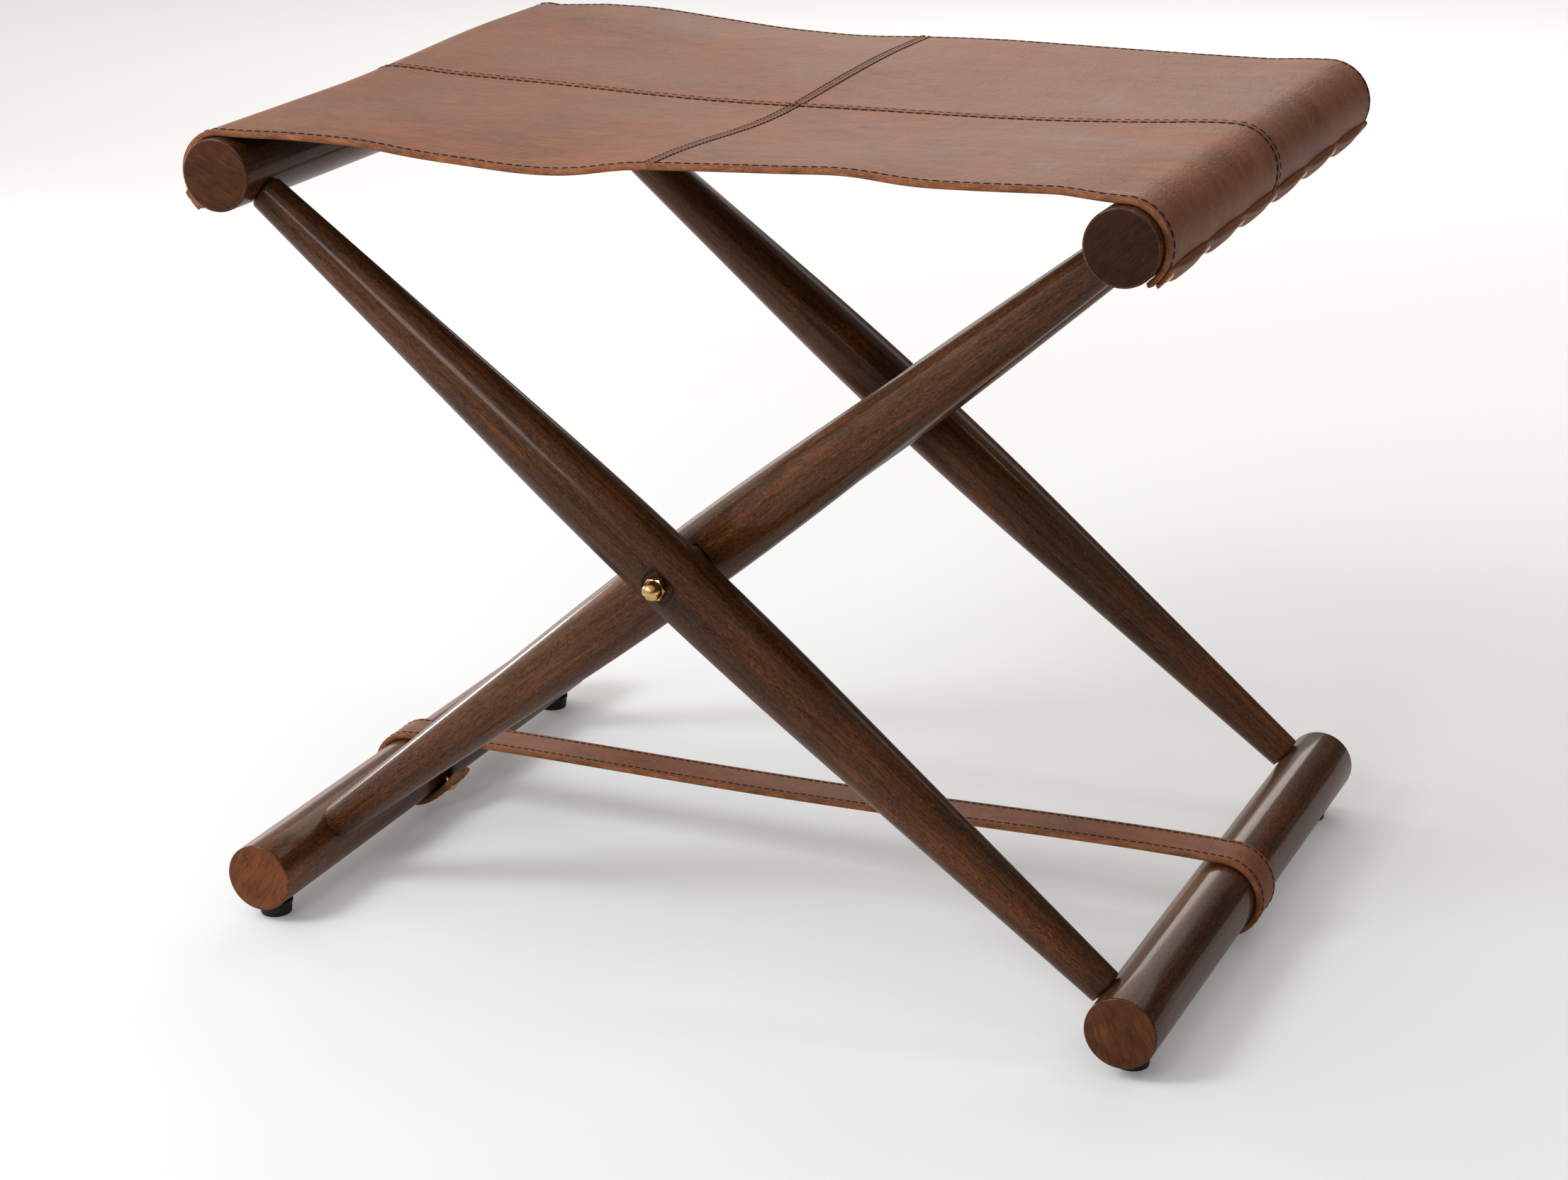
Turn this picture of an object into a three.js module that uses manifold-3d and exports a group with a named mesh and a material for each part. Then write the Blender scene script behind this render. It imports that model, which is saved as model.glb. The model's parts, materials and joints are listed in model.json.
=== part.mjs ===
// Folding camp stool: two crossed frames of turned legs and round rails, a leather seat, and
// a leather strap between the bottom rails. Millimetres. +X is the width, +Y runs from front
// to rear along the rails, +Z is up, and the origin is on the floor under the centre.
//
// The outer frame holds the top left and bottom right rails, and the inner frame, which nests
// between the outer legs, holds the top right and bottom left rails. The frames are drawn
// open, at the stop set by the seat and the strap.
import * as THREE from 'three';
import { mergeVertices } from 'three/addons/utils/BufferGeometryUtils.js';
import Module from 'manifold-3d';

const wasm = await Module();
wasm.setup();

// ---- driving dimensions -------------------------------------------------------------------
const GAP = 0.3;                      // clearance between pieces that touch

const RAIL_RADIUS = 19.5;
const RAIL_CHAMFER = 1;
const OUTER_RAIL_LENGTH = 389;
const INNER_RAIL_LENGTH = 378;
const TOP_RAIL_X = 246;
const TOP_RAIL_Z = 430.2;
const BOTTOM_RAIL_X = 254.5;
const BOTTOM_RAIL_Z = 27.2;

const OUTER_LEG_Y = 170.5;
const INNER_LEG_Y = 126;
const LEG_END_RADIUS = 9.8;
const LEG_PEAK_RADIUS = 20.8;         // where the two tapers would meet without the crown
const LEG_CROWN = 100;                // half length of the rounded middle
const TENON_RADIUS = 7;
const TENON_TIP = 5;                  // from the rail's axis to the end of the tenon
const LEG_EDGE = 0.8;                 // the chamfer on shoulders and tenons

const BOLT_RADIUS = 3.2;              // a quarter-inch bolt, its head and its acorn nut
const SPOT_FACE_DEPTH = 1.2;          // flat seats cut into round legs and rails
const NUT_ACROSS_FLATS = 11.1;
const NUT_HEX_HEIGHT = 5;
const NUT_NECK = 0.6;                 // between the hexagon and the start of the dome
const NUT_HEIGHT = 12;
const NUT_BORE_DEPTH = 7.4;
const NUT_DOME_RADIUS = 5.2;
const BOLT_HEAD_HEIGHT = 4.2;
const WASHER_RADIUS = 8.2;
const WASHER_THICKNESS = 1.6;
const WASHER_EDGE = 0.4;
const SPACER_RADIUS = 9;

const FOOT_Y = 172.4;
const FOOT_RADIUS = 8.7;
const FOOT_TOP_RADIUS = 9.8;
const FOOT_EDGE = 0.7;
const SCREW_RADIUS = 2;
const SCREW_HEAD_RADIUS = 4;
const SCREW_HEAD_HEIGHT = 2;
const SCREW_HEAD_FLAT_RADIUS = 3;
const SCREW_HEAD_EDGE = 0.8;
const SCREW_RECESS = 3;
const SCREW_TIP_Z = 20;
const SCREW_POINT_LENGTH = 3;

const SEAT_THICKNESS = 3.4;
const SEAT_FRONT_Y = -187;
const SEAT_REAR_Y = 198;
const SEAT_SAG = 6;
const SEAT_END_ANGLE = 58;            // degrees below the rail's outer side
const STRIP_THICKNESS = 2.6;
const STRIP_START_ANGLE = 24;
const STRIP_END_ANGLE = 56;

const NAIL_COUNT = 7;
const NAIL_FIRST_Y = -174;
const NAIL_SPACING = 59.5;
const NAIL_ANGLE = 40;
const NAIL_SHANK_RADIUS = 1;
const NAIL_TIP = 11.8;                // from the rail's axis to the nail's point
const NAIL_POINT_LENGTH = 2;
const NAIL_HEAD_RADIUS = 3.8;
const NAIL_HEAD_HEIGHT = 1.9;

const STRAP_WIDTH = 27;
const STRAP_Y = -3;
const STRAP_THICKNESS = 3.6;
const STRAP_SAG = 3;
const STRAP_END_ANGLE = { left: 6, right: 38 };   // degrees below the rail's inner side
const STRAP_NAIL_ANGLE = { left: 30, right: 52 };
const STRAP_FREE_ANGLE = 62;          // where the left end starts to leave its rail
const STRAP_END_LIFT = 6;             // how far the left end's tip stands off its rail
const STRAP_NAIL_SEAT = 1;            // clears the leather where it slopes under the nail's head

// ---- how finely round shapes are faceted --------------------------------------------------
const RAIL_SIDES = 36;
const LEG_SIDES = 24;
const SEAT_HOLE_SIDES = 24;
const ROUND_SIDES = 20;               // washers, spacers, feet, tenon sockets
const BOLT_SIDES = 16;
const DOME_SIDES = 18;
const SCREW_SIDES = 12;
const NAIL_SIDES = 10;
const NAIL_HOLE_SIDES = 8;
const CUT_EXCESS = 2;                 // how far a cutter runs past the surface that it cuts

// ---- sizes worked out from them -----------------------------------------------------------
const SLOPE = Math.atan2(TOP_RAIL_Z - BOTTOM_RAIL_Z, TOP_RAIL_X + BOTTOM_RAIL_X);
const PIVOT_Z = BOTTOM_RAIL_Z + BOTTOM_RAIL_X * Math.tan(SLOPE);
const REACH_UP = TOP_RAIL_X / Math.cos(SLOPE);
const REACH_DOWN = BOTTOM_RAIL_X / Math.cos(SLOPE);
const SHOULDER = RAIL_RADIUS + GAP;   // from the rail's axis to the leg's shoulder
const LEG_MIDDLE = (REACH_UP - REACH_DOWN) / 2;
const LEG_HALF = (REACH_UP + REACH_DOWN) / 2 - SHOULDER;
const LEG_TAPER = (LEG_PEAK_RADIUS - LEG_END_RADIUS) / LEG_HALF;
const LEG_MID_RADIUS = LEG_PEAK_RADIUS - LEG_TAPER * LEG_CROWN / 2;
const LEG_SEAT = LEG_MID_RADIUS - SPOT_FACE_DEPTH;
const SEAT_INNER_RADIUS = RAIL_RADIUS + GAP;
const SEAT_OUTER_RADIUS = SEAT_INNER_RADIUS + SEAT_THICKNESS;
const STRIP_INNER_RADIUS = SEAT_OUTER_RADIUS + GAP;
const STRIP_OUTER_RADIUS = STRIP_INNER_RADIUS + STRIP_THICKNESS;
const STRAP_INNER_RADIUS = RAIL_RADIUS + GAP;
const STRAP_OUTER_RADIUS = STRAP_INNER_RADIUS + STRAP_THICKNESS;
const STRAP_NAIL_REACH = {
  left: STRAP_OUTER_RADIUS + strapLift(STRAP_NAIL_ANGLE.left) + STRAP_NAIL_SEAT,
  right: STRAP_OUTER_RADIUS,
};
const FOOT_HEIGHT = BOTTOM_RAIL_Z - RAIL_RADIUS + SPOT_FACE_DEPTH - GAP;
const SIDES = [[-1, 'left'], [1, 'right']];
const degrees = THREE.MathUtils.degToRad;

// How far the strap's left end stands off its rail, at an angle in degrees below the inner side.
function strapLift(angle) {
  const free = STRAP_FREE_ANGLE - STRAP_END_ANGLE.left;
  const share = Math.max(0, (STRAP_FREE_ANGLE - angle) / free);
  return STRAP_END_LIFT * share ** 2;
}

// ---- materials ----------------------------------------------------------------------------
const material = (color, roughness, metalness = 0) => () =>
  new THREE.MeshStandardMaterial({ color, roughness, metalness });
const wood = material(0x3d2417, 0.35);
const leather = material(0x6b3a28, 0.5);
const brass = material(0xb08a45, 0.25, 1);
const steel = material(0x8d8f92, 0.35, 1);
const rubber = material(0x141312, 0.8);

// ---- solids -------------------------------------------------------------------------------
function solid(geometry) {
  const bare = geometry.clone();
  bare.deleteAttribute('normal');
  bare.deleteAttribute('uv');
  const merged = mergeVertices(bare, 1e-4);
  const triangles = [];
  for (let i = 0; i < merged.index.count; i += 3) {
    const corners = [0, 1, 2].map((k) => merged.index.getX(i + k));
    if (new Set(corners).size === 3) triangles.push(...corners);
  }
  return new wasm.Manifold(new wasm.Mesh({
    numProp: 3,
    vertProperties: new Float32Array(merged.attributes.position.array),
    triVerts: new Uint32Array(triangles),
  }));
}

function geometryOf(manifold) {
  const { vertProperties, triVerts } = manifold.getMesh();
  const geometry = new THREE.BufferGeometry();
  geometry.setAttribute('position', new THREE.BufferAttribute(vertProperties, 3));
  geometry.setIndex(new THREE.BufferAttribute(triVerts, 1));
  geometry.computeVertexNormals();
  return geometry;
}

// A turned piece about +Y, from its profile of [radius, height] points.
const turned = (profile, sides) =>
  new THREE.LatheGeometry(profile.map(([r, h]) => new THREE.Vector2(r, h)), sides);

// A round bar along a direction, from one distance to another along it.
function bar(radius, from, to, direction, sides) {
  const geometry = new THREE.CylinderGeometry(radius, radius, to - from, sides);
  geometry.translate(0, (from + to) / 2, 0);
  const turn = new THREE.Quaternion().setFromUnitVectors(new THREE.Vector3(0, 1, 0), direction);
  return geometry.applyQuaternion(turn);
}

const inPlane = (angle) => new THREE.Vector3(Math.cos(angle), 0, Math.sin(angle));

const root = new THREE.Group();

function addPiece(name, shape, makeMaterial, place = {}) {
  const geometry = shape instanceof THREE.BufferGeometry ? geometryOf(solid(shape)) : geometryOf(shape);
  const mesh = new THREE.Mesh(geometry, makeMaterial());
  mesh.name = name;
  mesh.position.set(place.x ?? 0, place.y ?? 0, place.z ?? 0);
  mesh.quaternion.copy(place.turn ?? new THREE.Quaternion());
  root.add(mesh);
}

// The turn that takes +Y to a direction.
const turnTo = (direction) =>
  new THREE.Quaternion().setFromUnitVectors(new THREE.Vector3(0, 1, 0), direction);

// ---- rails --------------------------------------------------------------------------------
const nailHeights = Array.from({ length: NAIL_COUNT }, (_, i) => NAIL_FIRST_Y + i * NAIL_SPACING);

function railSolid(length, legY, legDirection) {
  const end = length / 2;
  let rail = solid(turned([
    [0, -end], [RAIL_RADIUS - RAIL_CHAMFER, -end], [RAIL_RADIUS, -end + RAIL_CHAMFER],
    [RAIL_RADIUS, end - RAIL_CHAMFER], [RAIL_RADIUS - RAIL_CHAMFER, end], [0, end],
  ], RAIL_SIDES));
  for (const y of [-legY, legY]) {
    const socket = bar(TENON_RADIUS + GAP, TENON_TIP - GAP, RAIL_RADIUS + CUT_EXCESS, legDirection,
      ROUND_SIDES);
    rail = rail.subtract(solid(socket.translate(0, y, 0)));
  }
  return rail;
}

function nailHole(y, direction, outerRadius) {
  const radius = NAIL_SHANK_RADIUS + GAP;
  const hole = bar(radius, NAIL_TIP - GAP, outerRadius + CUT_EXCESS, direction, NAIL_HOLE_SIDES);
  return solid(hole.translate(0, y, 0));
}

function topRail(name, side, length, legY) {
  const legDirection = inPlane(side < 0 ? -SLOPE : Math.PI + SLOPE);
  let rail = railSolid(length, legY, legDirection);
  for (const y of nailHeights) {
    rail = rail.subtract(nailHole(y, nailDirection(side), RAIL_RADIUS));
  }
  addPiece(name, rail, wood, { x: side * TOP_RAIL_X, z: TOP_RAIL_Z });
}

function bottomRail(name, side, length, legY) {
  let rail = railSolid(length, legY, inPlane(side < 0 ? SLOPE : Math.PI - SLOPE));
  const down = new THREE.Vector3(0, 0, -1);
  const seatDepth = RAIL_RADIUS - SPOT_FACE_DEPTH;
  const screwTip = BOTTOM_RAIL_Z - SCREW_TIP_Z - GAP;
  for (const y of [-FOOT_Y, FOOT_Y]) {
    const seat = bar(FOOT_TOP_RADIUS + GAP, seatDepth, RAIL_RADIUS + CUT_EXCESS, down, SEAT_HOLE_SIDES);
    const pilot = bar(SCREW_RADIUS + GAP, screwTip, RAIL_RADIUS, down, NAIL_SIDES);
    rail = rail.subtract(solid(seat.translate(0, y, 0))).subtract(solid(pilot.translate(0, y, 0)));
  }
  const strapHole = nailHole(STRAP_Y, strapNailDirection(side), RAIL_RADIUS);
  addPiece(name, rail.subtract(strapHole), wood, { x: side * BOTTOM_RAIL_X, z: BOTTOM_RAIL_Z });
}

const nailDirection = (side) =>
  inPlane(side < 0 ? Math.PI + degrees(NAIL_ANGLE) : -degrees(NAIL_ANGLE));
const strapNailDirection = (side) =>
  inPlane(side < 0 ? -degrees(STRAP_NAIL_ANGLE.left) : Math.PI + degrees(STRAP_NAIL_ANGLE.right));

// ---- legs ---------------------------------------------------------------------------------
function legRadius(t) {
  const d = Math.abs(t - LEG_MIDDLE);
  if (d > LEG_CROWN) return LEG_PEAK_RADIUS - LEG_TAPER * d;
  return LEG_PEAK_RADIUS - LEG_TAPER * (LEG_CROWN / 2 + d * d / (2 * LEG_CROWN));
}

// Along +Y from the bottom tenon to the top one, with the pivot at the origin.
function legGeometry() {
  const low = -REACH_DOWN;
  const edge = LEG_EDGE;
  const profile = [
    [0, low + TENON_TIP], [TENON_RADIUS - edge, low + TENON_TIP],
    [TENON_RADIUS, low + TENON_TIP + edge], [TENON_RADIUS, low + SHOULDER],
    [LEG_END_RADIUS - edge, low + SHOULDER], [LEG_END_RADIUS, low + SHOULDER + edge],
  ];
  const crownSteps = 6;
  for (let i = 0; i <= crownSteps; i += 1) {
    const t = LEG_MIDDLE + LEG_CROWN * (2 * i / crownSteps - 1);
    profile.push([legRadius(t), t]);
  }
  const high = REACH_UP;
  profile.push(
    [LEG_END_RADIUS, high - SHOULDER - edge], [LEG_END_RADIUS - edge, high - SHOULDER],
    [TENON_RADIUS, high - SHOULDER], [TENON_RADIUS, high - TENON_TIP - edge],
    [TENON_RADIUS - edge, high - TENON_TIP], [0, high - TENON_TIP],
  );
  return turned(profile, LEG_SIDES);
}

// The leg's bolt hole and the two flat seats beside it run along Z before the leg is placed.
function leg(name, frameSide, y, frontSeatRadius, rearSeatRadius) {
  const across = new THREE.Vector3(0, 0, 1);
  const reach = LEG_MID_RADIUS + CUT_EXCESS;
  const hole = solid(bar(BOLT_RADIUS + GAP, -reach, reach, across, BOLT_SIDES));
  const frontSeat = solid(bar(frontSeatRadius + GAP, -reach, -LEG_SEAT, across, SEAT_HOLE_SIDES));
  const rearSeat = solid(bar(rearSeatRadius + GAP, LEG_SEAT, reach, across, SEAT_HOLE_SIDES));
  const shape = solid(legGeometry()).subtract(hole).subtract(frontSeat).subtract(rearSeat);
  const along = new THREE.Vector3(frameSide * Math.cos(SLOPE), 0, Math.sin(SLOPE));
  const rearward = new THREE.Vector3(0, 1, 0);
  const basis = new THREE.Matrix4().makeBasis(along.clone().cross(rearward), along, rearward);
  const turn = new THREE.Quaternion().setFromRotationMatrix(basis);
  addPiece(name, shape, wood, { y, z: PIVOT_Z, turn });
}

// ---- pivots -------------------------------------------------------------------------------
const hexagon = (acrossFlats, height) => {
  const radius = acrossFlats / 2 / Math.cos(Math.PI / 6);
  return new THREE.CylinderGeometry(radius, radius, height, 6).translate(0, height / 2, 0);
};

function washerGeometry(radius, thickness) {
  const bore = BOLT_RADIUS + GAP;
  const edge = WASHER_EDGE;
  return turned([
    [bore, 0], [radius - edge, 0], [radius, edge], [radius, thickness - edge],
    [radius - edge, thickness], [bore, thickness], [bore, 0],
  ], ROUND_SIDES);
}

// Every piece is made along +Y, which points away from the stool's middle once it is placed.
function pivot(place, side) {
  const turn = turnTo(new THREE.Vector3(0, side, 0));
  const put = (distance) => ({ y: side * distance, z: PIVOT_Z, turn });

  const washerBase = INNER_LEG_Y - LEG_SEAT - GAP - WASHER_THICKNESS;
  addPiece(`pivot_washer_${place}`, washerGeometry(WASHER_RADIUS, WASHER_THICKNESS), brass, put(washerBase));

  const spacerBase = INNER_LEG_Y + LEG_SEAT + GAP;
  const spacerThickness = OUTER_LEG_Y - LEG_SEAT - GAP - spacerBase;
  addPiece(`pivot_spacer_${place}`, washerGeometry(SPACER_RADIUS, spacerThickness), brass, put(spacerBase));

  const nutBase = OUTER_LEG_Y + LEG_SEAT + GAP;
  const domeFoot = NUT_HEX_HEIGHT + NUT_NECK;
  const domeRise = NUT_HEIGHT - domeFoot;
  const dome = [[0, 0], [NUT_DOME_RADIUS, 0], [NUT_DOME_RADIUS, domeFoot]];
  const domeSteps = 4;
  for (let i = 1; i <= domeSteps; i += 1) {
    const angle = (i / domeSteps) * Math.PI / 2;
    dome.push([NUT_DOME_RADIUS * Math.cos(angle), domeFoot + domeRise * Math.sin(angle)]);
  }
  dome[dome.length - 1][0] = 0;
  const up = new THREE.Vector3(0, 1, 0);
  const bore = bar(BOLT_RADIUS + GAP, -CUT_EXCESS, NUT_BORE_DEPTH, up, BOLT_SIDES);
  const nut = solid(hexagon(NUT_ACROSS_FLATS, NUT_HEX_HEIGHT)).add(solid(turned(dome, DOME_SIDES)));
  addPiece(`acorn_nut_${place}`, nut.subtract(solid(bore)), brass, put(nutBase));

  const headBase = washerBase - GAP - BOLT_HEAD_HEIGHT;
  const shankEnd = nutBase + NUT_BORE_DEPTH - GAP - headBase;
  const shank = bar(BOLT_RADIUS, BOLT_HEAD_HEIGHT / 2, shankEnd, up, BOLT_SIDES);
  const bolt = solid(hexagon(NUT_ACROSS_FLATS, BOLT_HEAD_HEIGHT)).add(solid(shank));
  addPiece(`pivot_bolt_${place}`, bolt, brass, put(headBase));
}

// ---- feet ---------------------------------------------------------------------------------
function foot(place, x, y) {
  const up = turnTo(new THREE.Vector3(0, 0, 1));
  const bore = SCREW_RADIUS + GAP;
  const recess = SCREW_HEAD_RADIUS + GAP;
  addPiece(`foot_${place}`, turned([
    [recess, 0], [FOOT_RADIUS - FOOT_EDGE, 0], [FOOT_RADIUS, FOOT_EDGE],
    [FOOT_TOP_RADIUS, FOOT_HEIGHT], [bore, FOOT_HEIGHT], [bore, SCREW_RECESS],
    [recess, SCREW_RECESS], [recess, 0],
  ], ROUND_SIDES), rubber, { x, y, turn: up });

  const headTop = SCREW_RECESS - GAP;
  const headBase = headTop - SCREW_HEAD_HEIGHT;
  addPiece(`foot_screw_${place}`, turned([
    [0, headBase], [SCREW_HEAD_FLAT_RADIUS, headBase],
    [SCREW_HEAD_RADIUS, headBase + SCREW_HEAD_EDGE], [SCREW_HEAD_RADIUS, headTop],
    [SCREW_RADIUS, headTop], [SCREW_RADIUS, SCREW_TIP_Z - SCREW_POINT_LENGTH], [0, SCREW_TIP_Z],
  ], SCREW_SIDES), steel, { x, y, turn: up });
}

// ---- leather ------------------------------------------------------------------------------
// A band in the XZ plane between an inner and an outer line, extruded from one Y to another.
function band(inner, outer, fromY, toY) {
  const shape = new THREE.Shape([...inner, ...[...outer].reverse()]);
  const geometry = new THREE.ExtrudeGeometry(shape, { depth: toY - fromY, bevelEnabled: false });
  return geometry.rotateX(Math.PI / 2).translate(0, toY, 0);
}

// Points of an arc about a rail's centre. Angles are in radians from +X towards +Z, and lift
// gives what is added to the radius at an angle.
function arc(cx, cz, radius, from, to, steps, lift = () => 0) {
  return Array.from({ length: steps + 1 }, (_, i) => {
    const angle = from + (to - from) * i / steps;
    const reach = radius + lift(angle);
    return new THREE.Vector2(cx + reach * Math.cos(angle), cz + reach * Math.sin(angle));
  });
}

// The right half of the seat's section, from its nailed end over the rail to the middle seam.
function seatLine(radius) {
  const wrapSteps = 12;
  const wrap = arc(TOP_RAIL_X, TOP_RAIL_Z, radius, -degrees(SEAT_END_ANGLE), Math.PI / 2, wrapSteps);
  const spanSteps = 6;
  for (let i = 1; i <= spanSteps; i += 1) {
    const x = TOP_RAIL_X + (GAP / 2 - TOP_RAIL_X) * i / spanSteps;
    const fall = SEAT_SAG * (1 - (x / TOP_RAIL_X) ** 2);
    wrap.push(new THREE.Vector2(x, TOP_RAIL_Z + radius - fall));
  }
  return wrap;
}

const mirrored = (points) => points.map((p) => new THREE.Vector2(-p.x, p.y));

function cutNailHoles(shape, side, fromY, toY, outerRadius) {
  let cut = shape;
  for (const y of nailHeights.filter((h) => h > fromY && h < toY)) {
    const hole = nailHole(y, nailDirection(side), outerRadius);
    cut = cut.subtract(hole.translate([side * TOP_RAIL_X, 0, TOP_RAIL_Z]));
  }
  return cut;
}

function seatPanel(name, side, fromY, toY) {
  const inner = seatLine(SEAT_INNER_RADIUS);
  const outer = seatLine(SEAT_OUTER_RADIUS);
  const lines = side > 0 ? [outer, inner] : [mirrored(inner), mirrored(outer)];
  const panel = solid(band(...lines, fromY, toY));
  addPiece(name, cutNailHoles(panel, side, fromY, toY, SEAT_OUTER_RADIUS), leather);
}

function nailedStrip(name, side) {
  const steps = 4;
  const line = (radius) => arc(TOP_RAIL_X, TOP_RAIL_Z, radius,
    -degrees(STRIP_END_ANGLE), -degrees(STRIP_START_ANGLE), steps);
  const inner = line(STRIP_INNER_RADIUS);
  const outer = line(STRIP_OUTER_RADIUS);
  const lines = side > 0 ? [outer, inner] : [mirrored(inner), mirrored(outer)];
  const strip = solid(band(...lines, SEAT_FRONT_Y, SEAT_REAR_Y));
  addPiece(name, cutNailHoles(strip, side, SEAT_FRONT_Y, SEAT_REAR_Y, STRIP_OUTER_RADIUS), leather);
}

// From its left end, under and round the left rail, across, and round the right rail.
function strapLine(radius) {
  const top = Math.PI / 2;
  const leftEnd = Math.PI * 2 - degrees(STRAP_END_ANGLE.left);
  const rightEnd = degrees(STRAP_END_ANGLE.right) - Math.PI;
  const wrapSteps = 22;
  const lift = (angle) => strapLift(THREE.MathUtils.radToDeg(Math.PI * 2 - angle));
  const left = arc(-BOTTOM_RAIL_X, BOTTOM_RAIL_Z, radius, leftEnd, top, wrapSteps, lift);
  const right = arc(BOTTOM_RAIL_X, BOTTOM_RAIL_Z, radius, top, rightEnd, wrapSteps);
  const spanSteps = 8;
  const span = [];
  for (let i = 1; i < spanSteps; i += 1) {
    const x = BOTTOM_RAIL_X * (2 * i / spanSteps - 1);
    const fall = STRAP_SAG * (1 - (x / BOTTOM_RAIL_X) ** 2);
    span.push(new THREE.Vector2(x, BOTTOM_RAIL_Z + radius - fall));
  }
  return [...left, ...span, ...right];
}

function strap() {
  const lines = [strapLine(STRAP_INNER_RADIUS), strapLine(STRAP_OUTER_RADIUS)];
  const front = STRAP_Y - STRAP_WIDTH / 2;
  let shape = solid(band(...lines, front, front + STRAP_WIDTH));
  for (const [side, place] of SIDES) {
    const hole = nailHole(STRAP_Y, strapNailDirection(side), STRAP_NAIL_REACH[place]);
    shape = shape.subtract(hole.translate([side * BOTTOM_RAIL_X, 0, BOTTOM_RAIL_Z]));
  }
  addPiece('strap', shape, leather);
}

// ---- nails --------------------------------------------------------------------------------
// A domed nail along +Y from its point, whose head lies on leather at headRadius.
function nail(name, x, y, z, direction, headRadius) {
  const neck = headRadius + GAP;
  const crown = neck + NAIL_HEAD_HEIGHT;
  addPiece(name, turned([
    [0, NAIL_TIP], [NAIL_SHANK_RADIUS, NAIL_TIP + NAIL_POINT_LENGTH], [NAIL_SHANK_RADIUS, neck],
    [NAIL_HEAD_RADIUS, neck], [NAIL_HEAD_RADIUS * 0.85, neck + NAIL_HEAD_HEIGHT * 0.55],
    [0, crown],
  ], NAIL_SIDES), brass, { x, y, z, turn: turnTo(direction) });
}

// ---- the stool ----------------------------------------------------------------------------
topRail('top_rail_left', -1, OUTER_RAIL_LENGTH, OUTER_LEG_Y);
topRail('top_rail_right', 1, INNER_RAIL_LENGTH, INNER_LEG_Y);
bottomRail('bottom_rail_right', 1, OUTER_RAIL_LENGTH, OUTER_LEG_Y);
bottomRail('bottom_rail_left', -1, INNER_RAIL_LENGTH, INNER_LEG_Y);

leg('outer_leg_front', -1, -OUTER_LEG_Y, WASHER_RADIUS, SPACER_RADIUS);
leg('outer_leg_rear', -1, OUTER_LEG_Y, SPACER_RADIUS, WASHER_RADIUS);
leg('inner_leg_front', 1, -INNER_LEG_Y, SPACER_RADIUS, WASHER_RADIUS);
leg('inner_leg_rear', 1, INNER_LEG_Y, WASHER_RADIUS, SPACER_RADIUS);

pivot('front', -1);
pivot('rear', 1);

foot('front_left', -BOTTOM_RAIL_X, -FOOT_Y);
foot('front_right', BOTTOM_RAIL_X, -FOOT_Y);
foot('rear_left', -BOTTOM_RAIL_X, FOOT_Y);
foot('rear_right', BOTTOM_RAIL_X, FOOT_Y);

for (const [side, place] of SIDES) {
  seatPanel(`seat_panel_front_${place}`, side, SEAT_FRONT_Y, -GAP / 2);
  seatPanel(`seat_panel_rear_${place}`, side, GAP / 2, SEAT_REAR_Y);
  nailedStrip(`seat_strip_${place}`, side);
  nailHeights.forEach((y, i) => {
    nail(`seat_nail_${place}_${i + 1}`, side * TOP_RAIL_X, y, TOP_RAIL_Z, nailDirection(side),
      STRIP_OUTER_RADIUS);
  });
  nail(`strap_nail_${place}`, side * BOTTOM_RAIL_X, STRAP_Y, BOTTOM_RAIL_Z,
    strapNailDirection(side), STRAP_NAIL_REACH[place]);
}
strap();

export default root;
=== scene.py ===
import json
import math

import bmesh
import bpy
import numpy as np
from mathutils import Matrix, Vector


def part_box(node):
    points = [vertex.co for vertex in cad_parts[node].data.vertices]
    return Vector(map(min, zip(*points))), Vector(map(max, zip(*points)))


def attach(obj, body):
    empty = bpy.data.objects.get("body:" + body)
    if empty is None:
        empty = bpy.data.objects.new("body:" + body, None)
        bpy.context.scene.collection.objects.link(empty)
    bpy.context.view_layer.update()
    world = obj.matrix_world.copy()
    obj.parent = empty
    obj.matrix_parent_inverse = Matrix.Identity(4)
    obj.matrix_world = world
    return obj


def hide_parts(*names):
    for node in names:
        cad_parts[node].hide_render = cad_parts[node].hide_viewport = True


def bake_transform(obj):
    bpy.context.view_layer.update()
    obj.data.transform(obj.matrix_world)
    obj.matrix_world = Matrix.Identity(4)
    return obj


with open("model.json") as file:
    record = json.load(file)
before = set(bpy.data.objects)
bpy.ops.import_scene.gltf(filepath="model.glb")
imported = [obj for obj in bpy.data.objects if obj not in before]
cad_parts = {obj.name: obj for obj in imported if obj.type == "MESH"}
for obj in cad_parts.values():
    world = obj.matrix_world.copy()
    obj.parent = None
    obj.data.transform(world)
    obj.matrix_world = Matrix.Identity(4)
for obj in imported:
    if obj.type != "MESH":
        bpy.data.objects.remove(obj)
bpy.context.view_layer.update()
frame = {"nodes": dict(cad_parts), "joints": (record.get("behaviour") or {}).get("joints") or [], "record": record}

MM = 0.001
OUTER, INNER = "outer_frame", "inner_frame"

# ---- places and sizes, from the frame -----------------------------------------------------


def centre(node):
    low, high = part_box(node)
    return (low + high) / 2


def size(node):
    low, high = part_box(node)
    return high - low


RAIL_RADIUS = size("top_rail_left").z / 2
PIVOT = Vector(frame["joints"][0]["pos_m"])
TOP_X = centre("top_rail_right").x
TOP_Z = centre("top_rail_right").z
BOTTOM_X = centre("bottom_rail_right").x
BOTTOM_Z = centre("bottom_rail_right").z
LEG_RADIUS = size("outer_leg_front").y / 2

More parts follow.
